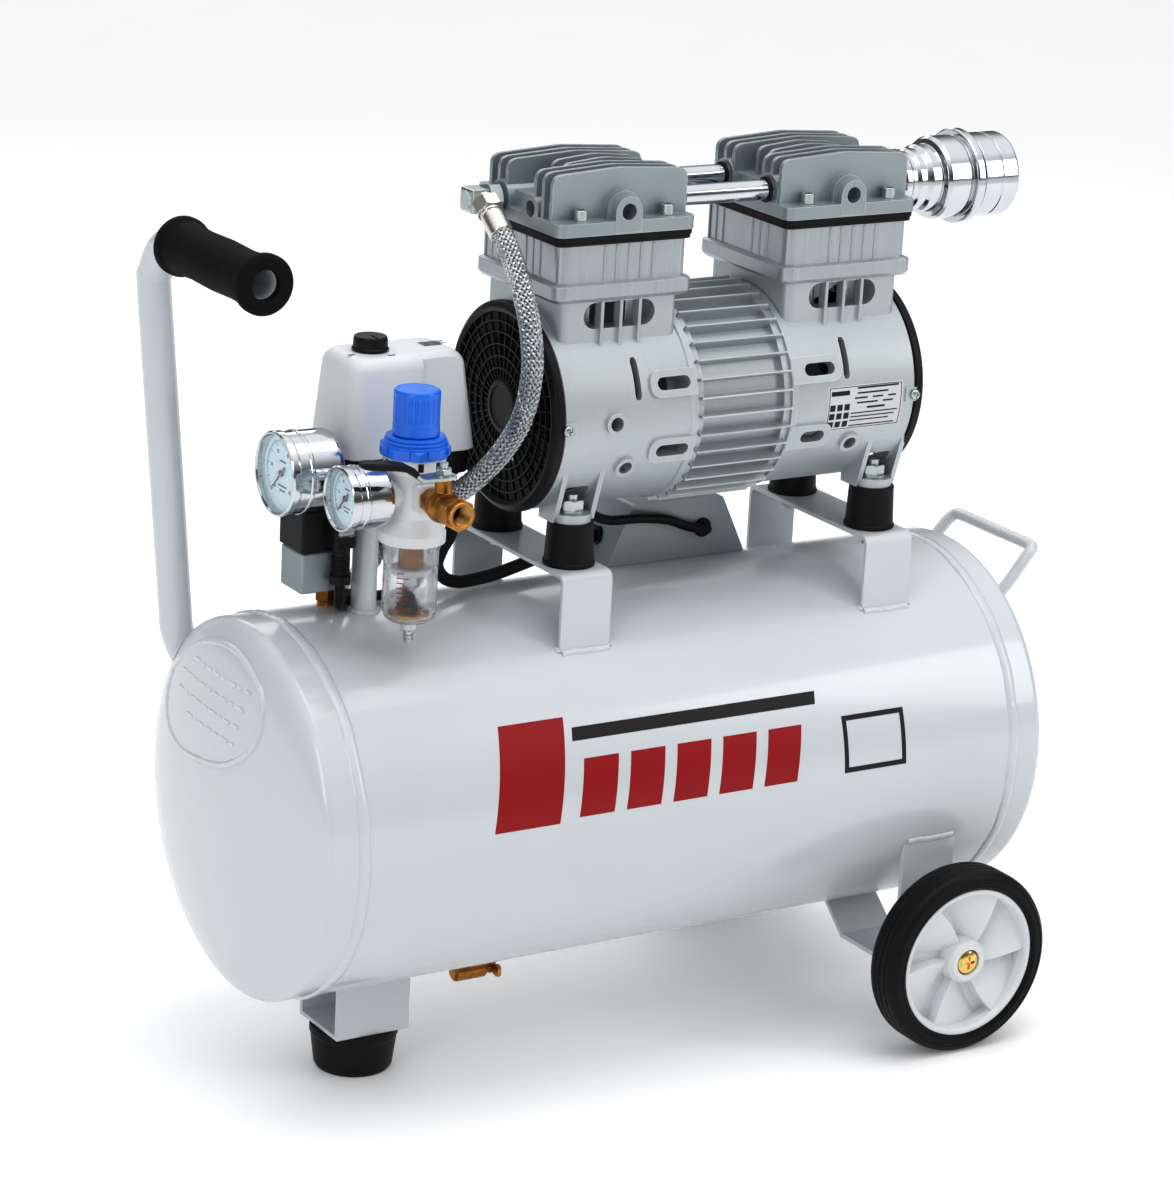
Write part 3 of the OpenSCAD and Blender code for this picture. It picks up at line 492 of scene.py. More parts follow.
def smoothPath(points, steps):
    out = []
    pts = [Vector(p) for p in points]
    for i in range(len(pts) - 1):
        a, b, c, d = pts[max(i - 1, 0)], pts[i], pts[i + 1], pts[min(i + 2, len(pts) - 1)]
        for k in range(steps):
            t = k / steps
            out.append(0.5 * (2 * b + (c - a) * t + (2 * a - 5 * b + 4 * c - d) * t * t
                              + (3 * b - a - 3 * c + d) * t ** 3))
    return out + [pts[-1]]


def pathFrames(path, closed=False):
    count = len(path)
    ways = []
    for i in range(count):
        ahead = path[(i + 1) % count] if closed else path[min(i + 1, count - 1)]
        behind = path[i - 1] if closed or i else path[0]
        ways.append((ahead - behind).normalized())
    side = ways[0].orthogonal().normalized()
    frames = []
    for way in ways:
        side = (side - way * side.dot(way)).normalized()
        frames.append((side.copy(), way.cross(side)))
    return frames


class Shape:
    def __init__(self, points=None, faces=None):
        self.points, self.faces = points or [], faces or []

    def add(self, points, faces, place=None):
        start = len(self.points)
        flip = place is not None and place.determinant() < 0
        self.points += [place @ Vector(p) if place is not None else Vector(p) for p in points]
        self.faces += [[start + i for i in (reversed(face) if flip else face)] for face in faces]
        return self

    def join(self, other, place=None):
        return self.add(other.points, other.faces, place)

    def prism(self, outline, low, high, place=None):
        n = len(outline)
        points = [(x, y, low) for x, y in outline] + [(x, y, high) for x, y in outline]
        faces = [list(range(n))[::-1], list(range(n, 2 * n))]
        faces += [[i, (i + 1) % n, n + (i + 1) % n, n + i] for i in range(n)]
        return self.add(points, faces, place)

    def loft(self, outlines, heights, place=None):
        n = len(outlines[0])
        points = [(x, y, z) for outline, z in zip(outlines, heights) for x, y in outline]
        faces = [list(range(n))[::-1], list(range(len(points) - n, len(points)))]
        for row in range(len(heights) - 1):
            a, b = row * n, (row + 1) * n
            faces += [[a + i, a + (i + 1) % n, b + (i + 1) % n, b + i] for i in range(n)]
        return self.add(points, faces, place)

    def lathe(self, profile, steps=64, place=None, loop=False):
        rows, points = [], []
        for radius, height in profile:
            if radius < 1e-6:
                rows.append([len(points)])
                points.append((0, 0, height))
            else:
                rows.append([len(points) + k for k in range(steps)])
                points += [(radius * math.cos(k * math.tau / steps), radius * math.sin(k * math.tau / steps),
                            height) for k in range(steps)]
        faces = []
        pairs = list(zip(rows, rows[1:])) + ([(rows[-1], rows[0])] if loop else [])
        for a, b in pairs:
            for k in range(steps):
                m = (k + 1) % steps
                if len(a) == 1 and len(b) == 1:
                    break
                if len(a) == 1:
                    faces.append([a[0], b[m], b[k]])
                elif len(b) == 1:
                    faces.append([a[k], a[m], b[0]])
                else:
                    faces.append([a[k], a[m], b[m], b[k]])
        return self.add(points, faces, place)

    def tube(self, path, radius, sides=12, closed=False, place=None):
        path = [Vector(p) for p in path]
        frames = pathFrames(path, closed)
        points, faces = [], []
        for i, (centre, (u, v)) in enumerate(zip(path, frames)):
            size = radius[i] if isinstance(radius, (list, tuple)) else radius
            for k in range(sides):
                a = k * math.tau / sides
                points.append(centre + (u * math.cos(a) + v * math.sin(a)) * size)
        rows = len(path)
        for i in range(rows if closed else rows - 1):
            j = (i + 1) % rows
            faces += [[i * sides + k, i * sides + (k + 1) % sides, j * sides + (k + 1) % sides, j * sides + k]
                      for k in range(sides)]
        if not closed:
            faces += [list(range(sides))[::-1], list(range((rows - 1) * sides, rows * sides))]
        return self.add(points, faces, place)

    def box(self, width, depth, height, place=None):
        x, y, z = width / 2, depth / 2, height / 2
        return self.prism([(-x, -y), (x, -y), (x, y), (-x, y)], -z, z, place)

    def toObject(self, name="work"):
        mesh = bpy.data.meshes.new(name)
        mesh.from_pydata([Vector(p) * mm for p in self.points], [], self.faces)
        mesh.validate()
        obj = bpy.data.objects.new(name, mesh)
        scene.collection.objects.link(obj)
        return obj


def plainMesh(obj):
    bpy.context.view_layer.update()
    ready = obj.evaluated_get(bpy.context.evaluated_depsgraph_get())
    mesh = bpy.data.meshes.new_from_object(ready)
    obj.modifiers.clear()
    old, obj.data = obj.data, mesh
    bpy.data.meshes.remove(old)
    return obj


def outward(mesh):
    work = bmesh.new()
    work.from_mesh(mesh)
    bmesh.ops.remove_doubles(work, verts=work.verts, dist=2e-6)
    bmesh.ops.recalc_face_normals(work, faces=work.faces)
    work.to_mesh(mesh)
    work.free()


def shapeOf(obj, keep=False):
    shape = Shape([v.co / mm for v in obj.data.vertices], [list(f.vertices) for f in obj.data.polygons])
    if not keep:
        bpy.data.objects.remove(obj)
    return shape


def carve(shape, tools, operation="DIFFERENCE"):
    base, tool = shape.toObject("base"), tools.toObject("tool")
    for part in (base, tool):
        outward(part.data)
    step = base.modifiers.new("carve", "BOOLEAN")
    step.operation, step.object, step.solver = operation, tool, "EXACT"
    step.use_self = True
    plainMesh(base)
    bpy.data.objects.remove(tool)
    return shapeOf(base)


def cadShape(node):
    source = frame["nodes"][node].data
    work = bmesh.new()
    work.from_mesh(source)
    bmesh.ops.remove_doubles(work, verts=work.verts, dist=5e-6)
    bmesh.ops.dissolve_limit(work, angle_limit=math.radians(0.6), verts=work.verts, edges=work.edges)
    mesh = bpy.data.meshes.new("copy")
    work.to_mesh(mesh)
    work.free()
    return Shape([v.co / mm for v in mesh.vertices], [list(f.vertices) for f in mesh.polygons])


# the large flats of a block stay flat shaded, in square metres
flatArea = 4e-5


def piece(name, shape, finish, body="frame", replaces=(), bevel=0.0, segments=3, angle=32, smooth=40,
          flip=True, firm=False):
    obj = shape.toObject(name)
    if flip:
        outward(obj.data)
    if bevel:
        edge = obj.modifiers.new("edges", "BEVEL")
        edge.width, edge.segments, edge.limit_method = bevel * mm, segments, "ANGLE"
        edge.angle_limit = math.radians(angle)
        edge.use_clamp_overlap = True
        plainMesh(obj)
    obj.data.shade_smooth()
    obj.data.set_sharp_from_angle(angle=math.radians(smooth))
    if firm:
        for face in obj.data.polygons:
            face.use_smooth = face.area < flatArea
    even = obj.modifiers.new("normals", "WEIGHTED_NORMAL")
    even.keep_sharp = True
    plainMesh(obj)
    obj.data.materials.clear()
    obj.data.materials.append(finishes[finish] if isinstance(finish, str) else finish)
    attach(obj, body)
    if replaces:
        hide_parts(*([replaces] if isinstance(replaces, str) else replaces))
    return obj


bodyOf = {node: body for body, nodes in frame["record"]["behaviour"]["bodies"].items() for node in nodes}

# geometry node trees: copies in a row or round an axis, and a braid along a curve


class Grower(Graph):
    # inputs: label -> socket kind; every tree ends in Realize Instances and Set Material
    def __init__(self, name, inputs):
        super().__init__(bpy.data.node_groups.new(name, "GeometryNodeTree"))
        self.ids = {}
        sockets = self.tree.interface
        sockets.new_socket("Geometry", in_out="INPUT", socket_type="NodeSocketGeometry")
        for label, kind in (*inputs.items(), ("Seed", "Int"), ("Finish", "Material")):
            self.ids[label] = sockets.new_socket(label, in_out="INPUT",
                                                 socket_type="NodeSocket" + kind).identifier
        sockets.new_socket("Geometry", in_out="OUTPUT", socket_type="NodeSocketGeometry")
        self.entry = self.tree.nodes.new("NodeGroupInput")

    def given(self, label):
        return Link(self, self.entry.outputs[label])

    def close(self, geometry):
        real = self.node("GeometryNodeRealizeInstances", {}, {"Geometry": geometry})
        done = self.node("GeometryNodeSetMaterial", {}, {"Geometry": real, "Material": self.given("Finish")})
        self.node_out = self.tree.nodes.new("NodeGroupOutput")
        self.tree.links.new(done.socket, self.node_out.inputs[0])
        return self

    def run(self, host, finish, **values):
        grow = host.modifiers.new("grow", "NODES")
        grow.node_group = self.tree
        values.update(Seed=7, Finish=finish)
        for label, value in values.items():
            grow[self.ids[label]] = value
        return plainMesh(host)


def repeatTree():
    g = Grower("copiesInARow", {"Source": "Object", "Count": "Int", "Turn": "Vector", "Step": "Vector"})
    row = g.node("GeometryNodeMeshLine", {"mode": "OFFSET"},
                 {"Count": g.given("Count"), "Offset": g.given("Step")})
    turn = g.node("ShaderNodeVectorMath", {"operation": "SCALE"},
                  {"Vector": g.given("Turn"), "Scale": g.node("GeometryNodeInputIndex")})
    source = g.node("GeometryNodeObjectInfo", {}, {"Object": g.given("Source")}, "Geometry")
    return g.close(g.node("GeometryNodeInstanceOnPoints", {},
                          {"Points": row, "Instance": source, "Rotation": turn}))


def braidTree():
    g = Grower("wireBraid", {"Strands": "Int", "Turns": "Float", "Radius": "Float", "Lift": "Float",
                             "Wire": "Float", "Hand": "Float", "Points": "Int", "Sides": "Int"})
    line = g.node("GeometryNodeResampleCurve", {}, {"Curve": g.given("Geometry"), "Count": g.given("Points")})
    copies = g.node("GeometryNodeDuplicateElements", {"domain": "SPLINE"},
                    {"Geometry": line, "Amount": g.given("Strands")})
    index = Link(g, copies.socket.node.outputs["Duplicate Index"])
    along = g.node("GeometryNodeSplineParameter", out="Factor") * g.given("Turns")
    angle = (g.maths(index, "DIVIDE", g.given("Strands")) + along) * math.tau * g.given("Hand")
    weave = g.maths(along * g.given("Strands") * math.tau, "COSINE", 0.0) * g.given("Hand")
    radius = g.given("Radius") + weave * g.given("Lift")
    normal = g.node("GeometryNodeInputNormal")
    across = g.node("ShaderNodeVectorMath", {"operation": "CROSS_PRODUCT"},
                    {0: g.node("GeometryNodeInputTangent"), 1: normal})
    parts = [g.node("ShaderNodeVectorMath", {"operation": "SCALE"},
                    {"Vector": way, "Scale": g.maths(angle, turn, 0.0) * radius})
             for way, turn in ((normal, "COSINE"), (across, "SINE"))]
    offset = g.node("ShaderNodeVectorMath", {"operation": "ADD"}, {0: parts[0], 1: parts[1]})
    moved = g.node("GeometryNodeSetPosition", {}, {"Geometry": copies, "Offset": offset})
    section = g.node("GeometryNodeCurvePrimitiveCircle", {},
                     {"Resolution": g.given("Sides"), "Radius": g.given("Wire")})
    return g.close(g.node("GeometryNodeCurveToMesh", {},
                          {"Curve": moved, "Profile Curve": section, "Fill Caps": True}))


copyRow, wireBraid = repeatTree(), braidTree()


def repeated(shape, count, turn=(0, 0, 0), step=(0, 0, 0), place=None):
    source = shape.toObject("source")
    outward(source.data)
    host = Shape([Vector((0, 0, 0))], []).toObject("host")
    copyRow.run(host, finishes["black_plastic"], Source=source, Count=count,
                Turn=[math.radians(a) for a in turn], Step=[s * mm for s in step])
    bpy.data.objects.remove(source)
    return Shape().join(shapeOf(host), place)


def braided(path, finish, **sizes):
    data = bpy.data.curves.new("route", "CURVE")
    data.dimensions = "3D"
    spline = data.splines.new("POLY")
    spline.points.add(len(path) - 1)
    for point, where in zip(spline.points, path):
        point.co = (*(Vector(where) * mm), 1)
    host = bpy.data.objects.new("route", data)
    scene.collection.objects.link(host)
    grow = host.modifiers.new("grow", "NODES")
    grow.node_group = wireBraid.tree
    sizes.update(Seed=7, Finish=finish)
    for label, value in sizes.items():
        grow[wireBraid.ids[label]] = value
    bpy.context.view_layer.update()
    mesh = bpy.data.meshes.new_from_object(host.evaluated_get(bpy.context.evaluated_depsgraph_get()))
    bpy.data.objects.remove(host)
    return Shape([v.co / mm for v in mesh.vertices], [list(f.vertices) for f in mesh.polygons])

# shared placements and small parts

motorZ = 425.0
faceFront = Matrix(((1, 0, 0, 0), (0, 0, -1, 0), (0, 1, 0, 0), (0, 0, 0, 1)))
mirrorX = Matrix.Scale(-1, 4, (1, 0, 0))
mirrorY = Matrix.Scale(-1, 4, (0, 1, 0))


def onCase(angle, x=0):
    # drawing's X stays along the motor, Z points out of the case, angle is height on the gauge side
    return at(x, 0, motorZ) @ Matrix.Rotation(-math.radians(angle), 4, "X") @ faceFront


def wrapSheet(corners, low, high, across=4, around=4, z=motorZ):
    # a four-cornered patch, (x, angle) at each corner, laid on a cylinder along X
    points, faces = [], []
    (a, b, c, d) = corners
    for r in (low, high):
        for j in range(around + 1):
            for i in range(across + 1):
                u, v = i / across, j / around
                x = (a[0] * (1 - u) + b[0] * u) * (1 - v) + (d[0] * (1 - u) + c[0] * u) * v
                s = math.radians((a[1] * (1 - u) + b[1] * u) * (1 - v) + (d[1] * (1 - u) + c[1] * u) * v)
                points.append((x, -r * math.cos(s), z + r * math.sin(s)))
    row, layer = across + 1, (across + 1) * (around + 1)
    for j in range(around):
        for i in range(across):
            k = j * row + i
            faces.append([k, k + row, k + row + 1, k + 1])
            faces.append([layer + k, layer + k + 1, layer + k + row + 1, layer + k + row])
    for i in range(across):
        faces.append([i, i + 1, layer + i + 1, layer + i])
        k = around * row + i
        faces.append([k, layer + k, layer + k + 1, k + 1])
    for j in range(around):
        k = j * row
        faces.append([k, layer + k, layer + k + row, k + row])
        k = j * row + across
        faces.append([k, k + row, layer + k + row, layer + k])
    return points, faces


def panScrew(radius, height):
    head = Shape().lathe([(0, -2), (radius * 0.5, -2), (radius * 0.5, 0), (radius, 0)]
                         + [(radius * math.cos(a / 6 * math.pi / 2),
                             height * (0.35 + 0.65 * math.sin(a / 6 * math.pi / 2)))
                            for a in range(6)] + [(0, height)], 28)
    cross = Shape().box(radius * 1.25, radius * 0.28, height, at(0, 0, height * 0.95))
    cross.box(radius * 0.28, radius * 1.25, height, at(0, 0, height * 0.95))
    return carve(head, cross)


def hexNut(across, height, bore=0.0):
    # chamfered six-sided nut, across its corners
    nut = Shape().prism(ring(across, 6), 0, height)
    cone = Shape().lathe([(0, -1), (across * 0.9, -1), (across * 1.02, height * 0.12),
                          (across * 1.02, height * 0.86),
                          (across * 0.86, height + 0.02), (0, height + 0.02)], 36)
    nut = carve(nut, cone, "INTERSECT")
    return carve(nut, Shape().prism(ring(bore, 24), -1, height + 1)) if bore else nut

# tank and frame

tankZ = 184.9
shell = {"radius": 120, "weld": 238.8, "flange": 20, "dome": 25, "wall": 2.5, "steps": 192}
tankPlace = at(0, 0, tankZ) @ alongX


def tankProfile(grow=0.0):
    end = shell["weld"] + shell["flange"]
    side = []
    for k in range(17):
        t = math.pi / 2 * k / 16
        side.append(((shell["radius"] + grow) * math.cos(t), end + (shell["dome"] + grow) * math.sin(t)))
    side[-1] = (0, side[-1][1])
    return side


def tankBody(grow=0.0, steps=192):
    half = tankProfile(grow)
    return Shape().lathe([(r, -x) for r, x in half[::-1]] + half, steps, tankPlace)


def domeX(y, z):
    # distance of the pressed head's face from the middle of the tank
    far = min(1.0, math.hypot(y, z - tankZ) / shell["radius"])
    return shell["weld"] + shell["flange"] + shell["dome"] * math.sqrt(1 - far * far)


def weldBead(path, out, width, height, closed=False, pitch=2.4, seed=0.0):
    # rippled bead laid along a path; out gives the direction away from the surface at each point
    steps = 8
    count = len(path)
    points, faces = [], []
    for i, (here, up) in enumerate(zip(path, out)):
        ahead = path[(i + 1) % count] if closed or i < count - 1 else here
        behind = path[i - 1] if closed or i else here
        side = (ahead - behind).normalized().cross(up)
        wander = noise.noise((i * 0.11 + seed, seed, 0.5)) * 0.12 * width
        scale = 1 + 0.22 * noise.noise((i * 0.31, seed, 3.1)) + 0.10 * math.sin(i * math.tau / pitch)
        for k in range(steps + 1):
            u = 2 * k / steps - 1
            lift = height * scale * (1 - u * u) ** 0.8 if abs(u) < 1 else -0.5
            points.append(here + side * (u * width / 2 * (0.93 + 0.07 * scale) + wander) + up * lift)
        points.append(here - up * 1.2)
    n = steps + 2
    for i in range(count if closed else count - 1):
        j = (i + 1) % count
        faces += [[i * n + k, i * n + (k + 1) % n, j * n + (k + 1) % n, j * n + k] for k in range(n)]
    if not closed:
        faces += [list(range(n))[::-1], list(range((count - 1) * n, count * n))]
    return Shape(points, faces)


def ringWeld(x, seed):
    path, out = [], []
    for k in range(300):
        a = math.tau * k / 300
        up = Vector((0, math.cos(a), math.sin(a)))
        path.append(Vector((x, 0, tankZ)) + up * (shell["radius"] - 0.2))
        out.append(up)
    return weldBead(path, out, 9, 1.5, True, 3, seed)


def makeTank():
    s = shell
    wall = [(s["radius"], -s["weld"]), (s["radius"], s["weld"]), (s["radius"] - s["wall"], s["weld"]),
            (s["radius"] - s["wall"], -s["weld"])]
    piece("tankBarrel", Shape().lathe(wall, s["steps"], tankPlace, True), "white_paint",
          replaces="tank_barrel")
    outer = [(s["radius"], s["weld"] + 0.02)] + tankProfile()
    inner = [(r * 0.979, x - s["wall"]) for r,
             x in tankProfile()[::-1]] + [(s["radius"] * 0.979, s["weld"] + 0.02)]
    inner[0] = (0, inner[0][1])
    heads = Shape()
    for side in (Matrix.Identity(4), mirrorX):
        heads.lathe(outer + inner, s["steps"], side @ tankPlace, True)
    piece("tankHeads", heads, "white_paint", replaces="tank_heads", smooth=50)
    welds = ringWeld(-s["weld"] - 2, 1.7).join(ringWeld(s["weld"] + 2, 5.3))
    low = math.radians(-104)
    up = Vector((0, math.cos(low), math.sin(low)))
    seam = [Vector((x, 0, tankZ)) + up * (s["radius"] - 0.3) for x in range(-234, 236, 2)]
    welds.join(weldBead(seam, [up] * len(seam), 6, 1.0, False, 3, 8.8))
    piece("tankWelds", welds, "white_paint", smooth=60)
    print("tank finished")


# the plate's edge on the head: across and up, joined by a smooth closed curve
plateOutline = [(64, 266), (38, 283), (-2, 290), (-36, 279), (-49, 262), (-43, 240), (-14, 222), (32, 214),
                (62, 217), (78, 232), (78, 251)]


def closedCurve(points, steps=8):
    ringPoints = smoothPath([(*p, 0) for p in points[-2:] + points + points[:2]], steps)
    return [(p.x, p.y) for p in ringPoints[2 * steps:(2 + len(points)) * steps]]


def makeNamePlate():
    outline = closedCurve(plateOutline)
    blank = Shape().prism(outline, -300, -262, alongX)
    blank = carve(blank, tankBody(1.3), "INTERSECT")
    blank = carve(blank, tankBody(0.05))
    for row in range(4):
        z = 272 - row * 11.5
        start, end = -34 + row * 3, 52 + (4 if row in (1, 2) else -9)
        y = start
        k = 0
        while y < end:
            length = (7, 4, 10, 5.5, 8)[(k + row * 2) % 5]
            face = -domeX(y + length / 2, z)
            tilt = (abs(face) - domeX(y + length / 2, z + 4)) / 4
            blank.join(Shape().prism(stadium(length, 1.0, 4), -0.8, 0.45),
                       Matrix.Translation((face - 1.3, y + length / 2,
                                           z)) @ Matrix.Rotation(-math.atan(tilt), 4, "Y")
                       @ at() @ Matrix(((0, 0, -1, 0), (-1, 0, 0, 0), (0, 1, 0, 0), (0, 0, 0, 1))))
            y += length + 3.0
            k += 1
    path = smoothPath([(-domeX(y, z) - 0.2, y, z) for y, z in outline + outline[:1]], 2)[:-1]
    out = [Vector((-1, p.y * 0.002, (p.z - tankZ) * 0.002)).normalized() for p in path]
    blank.join(weldBead(path, out, 4.6, 1.9, True, 5, 3.3))
    piece("namePlate", blank, "white_paint", replaces="name_plate", bevel=0.25, segments=2, smooth=50)


def makeDecals():
    # plain slanted blocks and bars where the tank carries its print
    low, high = shell["radius"] - 0.4, shell["radius"] + 0.12
    red, black = Shape(), Shape()
    slant = 0.36
    blocks = [(-152, -106, 4, 35)] + [(start, start + 25, 5, 22) for start in (-92, -58, -24, 10, 44)]
    for left, right, foot, head in blocks:
        lean = (head - foot) * slant
        red.add(*wrapSheet([(left, foot), (right, foot), (right + lean, head), (left + lean, head)], low,
                           high, 3, 14,
                           tankZ))
    for left, right, foot, head in ((-92, 88, 27.5, 31.5),):
        black.add(*wrapSheet([(left, foot), (right, foot), (right + 1.5, head), (left + 1.5, head)], low,
                             high, 6, 6,
                             tankZ))
    for left, right, foot, head in ((106, 154, 5, 6.6), (106, 154, 21, 22.6), (106, 109.2, 6.6, 21),
                                    (150.8, 154, 6.6, 21)):
        black.add(*wrapSheet([(left, foot), (right, foot), (right, head), (left, head)], low, high, 2, 8,
                             tankZ))
    piece("decalRed", red, printRed, flip=True)
    piece("decalBlack", black, printBlack, flip=True)


def surfaceWeld(points, width=5, height=1.6, seed=0.0, closed=False):
    # bead along points that lie on the barrel, standing out from its axis
    path = smoothPath(points, 4)
    out = [Vector((0, p.y, p.z - tankZ)).normalized() for p in path]
    return weldBead(path, out, width, height, closed, 4, seed)


def onBarrel(x, y, low=False):
    rise = math.sqrt(shell["radius"] ** 2 - y * y)
    return (x, y, tankZ + (-rise if low else rise))


def makeSheetMetal():
    for node, width in (("foot_channel", 0.9), ("wheel_brackets", 0.8)):
        words = node.split("_")
        piece(words[0] + words[1].capitalize(), cadShape(node), "white_paint", replaces=node, bevel=width,
              segments=3, flip=False)
    saddle = {"width": 36, "half": 68, "top": 333.2, "sheet": 3, "low": 258, "bend": 6.5}
    outer = [(-saddle["half"], saddle["low"], 0), (-saddle["half"], saddle["top"], saddle["bend"]),
             (saddle["half"], saddle["top"], saddle["bend"]), (saddle["half"], saddle["low"], 0)]
    reach, under = saddle["half"] - saddle["sheet"], saddle["top"] - saddle["sheet"]
    inner = [(reach, saddle["low"], 0), (reach, under, 3.5), (-reach, under, 3.5), (-reach, saddle["low"], 0)]
    saddles = Shape()
    bolts = Shape()
    for x in (-62.4, 165.8):
        saddles.prism(rounded(outer, 3, 6) + rounded(inner, 3, 6), x - saddle["width"] / 2,
                      x + saddle["width"] / 2,
                      alongX)
        for y in (-44, 44):
            bolts.prism(ring(4.3, 24), 320, 340, at(x, y))
    saddles = carve(carve(saddles, tankBody(0.2, 128)), bolts)
    piece("motorSaddles", saddles, "white_paint", replaces="motor_saddles", bevel=0.5, segments=2, angle=40,
          firm=True)
    beads = Shape()
    seed = 0.0
    for x in (-62.4, 165.8):
        for y in (-68.6, 68.6):
            beads.join(surfaceWeld([onBarrel(x - 17 + k * 3.4, y) for k in range(11)], 5.5, 1.8, seed))
            seed += 2.1
        for side in (-18.4, 18.4):
            for y in (-66.5, 66.5):
                beads.join(surfaceWeld([onBarrel(x + side, y - 1.5 + k) for k in range(4)], 4, 1.4, seed))
    for x0, x1 in ((-201, -155),):
        for y in (-25.4, 25.4):
            beads.join(surfaceWeld([onBarrel(x0 + k * (x1 - x0) / 10, y, True) for k in range(11)], 5, 1.6,
                                   seed))
            seed += 1.3
    for y in (-109.4, 109.4):
        beads.join(surfaceWeld([onBarrel(168 + k * 3.6, y, True) for k in range(11)], 5, 1.5, seed))
    piece("frameWelds", beads, "white_paint", smooth=60)
    foot = rounded([(10, 0), (23.5, 0, 1.4), (25.2, 3, 1), (27.6, 22, 1), (28.4, 24, 0.8), (28.4, 28.9, 1.2),
                    (4.2, 28.9), (4.2, 8), (10, 8)], 0.5, 4, True)
    rubberFoot = Shape().lathe(foot, 96, at(-178, 0, 0), True)
    piece("rubberFoot", rubberFoot, "black_rubber", replaces="rubber_foot")
    print("sheet metal finished")


def makeMounts():
    m = {"low": 333.25, "high": 361.15, "bottom": 16.4, "top": 14.6, "bore": 4.1}
    cone = rounded([(m["bore"], m["low"]), (m["bottom"], m["low"], 0.5), (m["bottom"], m["low"] + 2.2, 1),
                    (m["bottom"] - 0.8, m["low"] + 3, 0.6), (m["top"], m["high"] - 3, 1),
                    (m["top"], m["high"], 1.2),
                    (m["bore"], m["high"])], 0.4, 4, True)
    rubbers, bolts = Shape(), Shape()
    for x in (-62.4, 165.8):
        for y in (-44, 44):
            rubbers.lathe(cone, 64, at(x, y), True)
            bolts.prism(ring(4, 24), 321, 378, at(x, y))
            bolts.join(hexNut(7.5, 6), at(x, y, 324))
            bolts.lathe([(3.9, 366.7), (8.6, 366.7), (8.6, 368.2), (3.9, 368.2)], 32, at(x, y), True)
            bolts.join(hexNut(7.5, 6.4), at(x, y, 368.2, (0, 0, 17)))
    piece("rubberMounts", rubbers, "black_rubber", replaces="rubber_mounts")
    piece("mountBolts", bolts, "zinc_steel", replaces="mount_bolts", bevel=0.3, segments=2, angle=35)


wheel = {"axleX": 193, "axleZ": 62.5, "face": 152.5, "rim": 50.3, "hub": 14.5, "bolt": 6.05,
         "vanes": 6}


def makeWheels():
    w = wheel
    rim = rounded([(w["rim"], 0.3), (w["rim"], 24.6), (47.3, 24.6), (47.3, 14.2), (45.8, 12.2), (45.2, 6.5),
                   (46.2, 2.2), (47.6, 0.3)], 0.9, 3, True)
    hub = rounded([(w["bolt"], 4.5), (8.7, 4.5), (8.7, 0.2), (12.2, 0.2), (w["hub"], 2.5), (w["hub"] + 1, 12),
                   (w["hub"] - 1, 24), (w["bolt"], 24)], 0.7, 3, True)
    web = [(w["hub"] - 3, 12.5), (46.5, 12.5), (47.5, 15), (w["hub"] - 3, 15.2)]
    tyre = rounded([(w["rim"] + 0.02, 0.4), (54, -1.2, 1.5), (58.8, -0.6, 2), (61.2, 1.4, 1), (62.3, 4, 0.6),
                    (62.5, 6.3, 0.4), (61.4, 7.2, 0.3), (61.4, 8.0, 0.3), (62.5, 8.9, 0.4), (62.5, 11.6, 0.4),
                    (61.4, 12.4, 0.3), (61.4, 13.2, 0.3), (62.5, 14, 0.4), (62.5, 16.8, 0.4),
                    (61.4, 17.6, 0.3),
                    (61.4, 18.4, 0.3), (62.5, 19.4, 0.4), (62.3, 21.6, 0.6), (61.2, 24, 1), (58.8, 26, 2),
                    (54, 26.5, 1.5), (w["rim"] + 0.02, 24.6)], 0.4, 3, True)
    lines = [[(r - 0.45, d), (r, d - 0.55), (r + 0.45, d), (r, d + 0.6)] for r,
             d in ((52.6, -0.75), (58.2, -0.7))]
    for name, side in (("near", 1), ("far", -1)):
        place = at(w["axleX"], 0, w["axleZ"]) @ (Matrix.Identity(4) if side > 0 else mirrorY) \
            @ at(0, -w["face"]) @ faceFront @ Matrix.Scale(-1, 4, (0, 0, 1))
        shape = Shape().lathe(rim, 128, place, True).lathe(hub, 64, place, True).lathe(web, 96, place, True)
        vane = vaneShape(w["hub"] - 1.5, 46.3)
        shape.join(repeated(vane, w["vanes"], (0, 0, 360 / w["vanes"])), place)
        piece(name + "Wheel", shape, "white_plastic", name + "_wheel", name + "_wheel", bevel=0.3, segments=2,
              angle=45)
        rubberShape = Shape().lathe(tyre, 144, place, True)
        for line in lines:
            rubberShape.lathe(line, 144, place, True)
        piece(name + "Tyre", rubberShape, "tyre_rubber", name + "_wheel", name + "_tyre", smooth=28)


def vaneShape(near, far):
    # a fan-like facet: one edge stands up to the face, the other falls back to the web
    points, faces = [], []
    rows, across = 8, 8
    for layer in (0, 1):
        for i in range(rows + 1):
            r = near + (far - near) * i / rows
            swing = -8 + 10 * i / rows
            for k in range(across + 1):
                a = math.radians(swing + 54 * k / across)
                depth = 3.2 + 9.6 * (k / across) ** 1.25 + 1.4 * (1 - i / rows)
                points.append((r * math.cos(a), r * math.sin(a), depth if layer == 0 else 14.0))
    row, sheetSize = across + 1, (rows + 1) * (across + 1)
    for i in range(rows):
        for k in range(across):
            a = i * row + k
            faces += [[a, a + 1, a + row + 1, a + row],
                      [sheetSize + a, sheetSize + a + row, sheetSize + a + row + 1, sheetSize + a + 1]]
    for i in range(rows):
        for k in (0, across):
            a = i * row + k
            faces.append([a, a + row, sheetSize + a + row, sheetSize + a])
    for k in range(across):
        for i in (0, rows):
            a = i * row + k
            faces.append([a, a + 1, sheetSize + a + 1, sheetSize + a])
    return Shape([Vector(p) for p in points], faces)


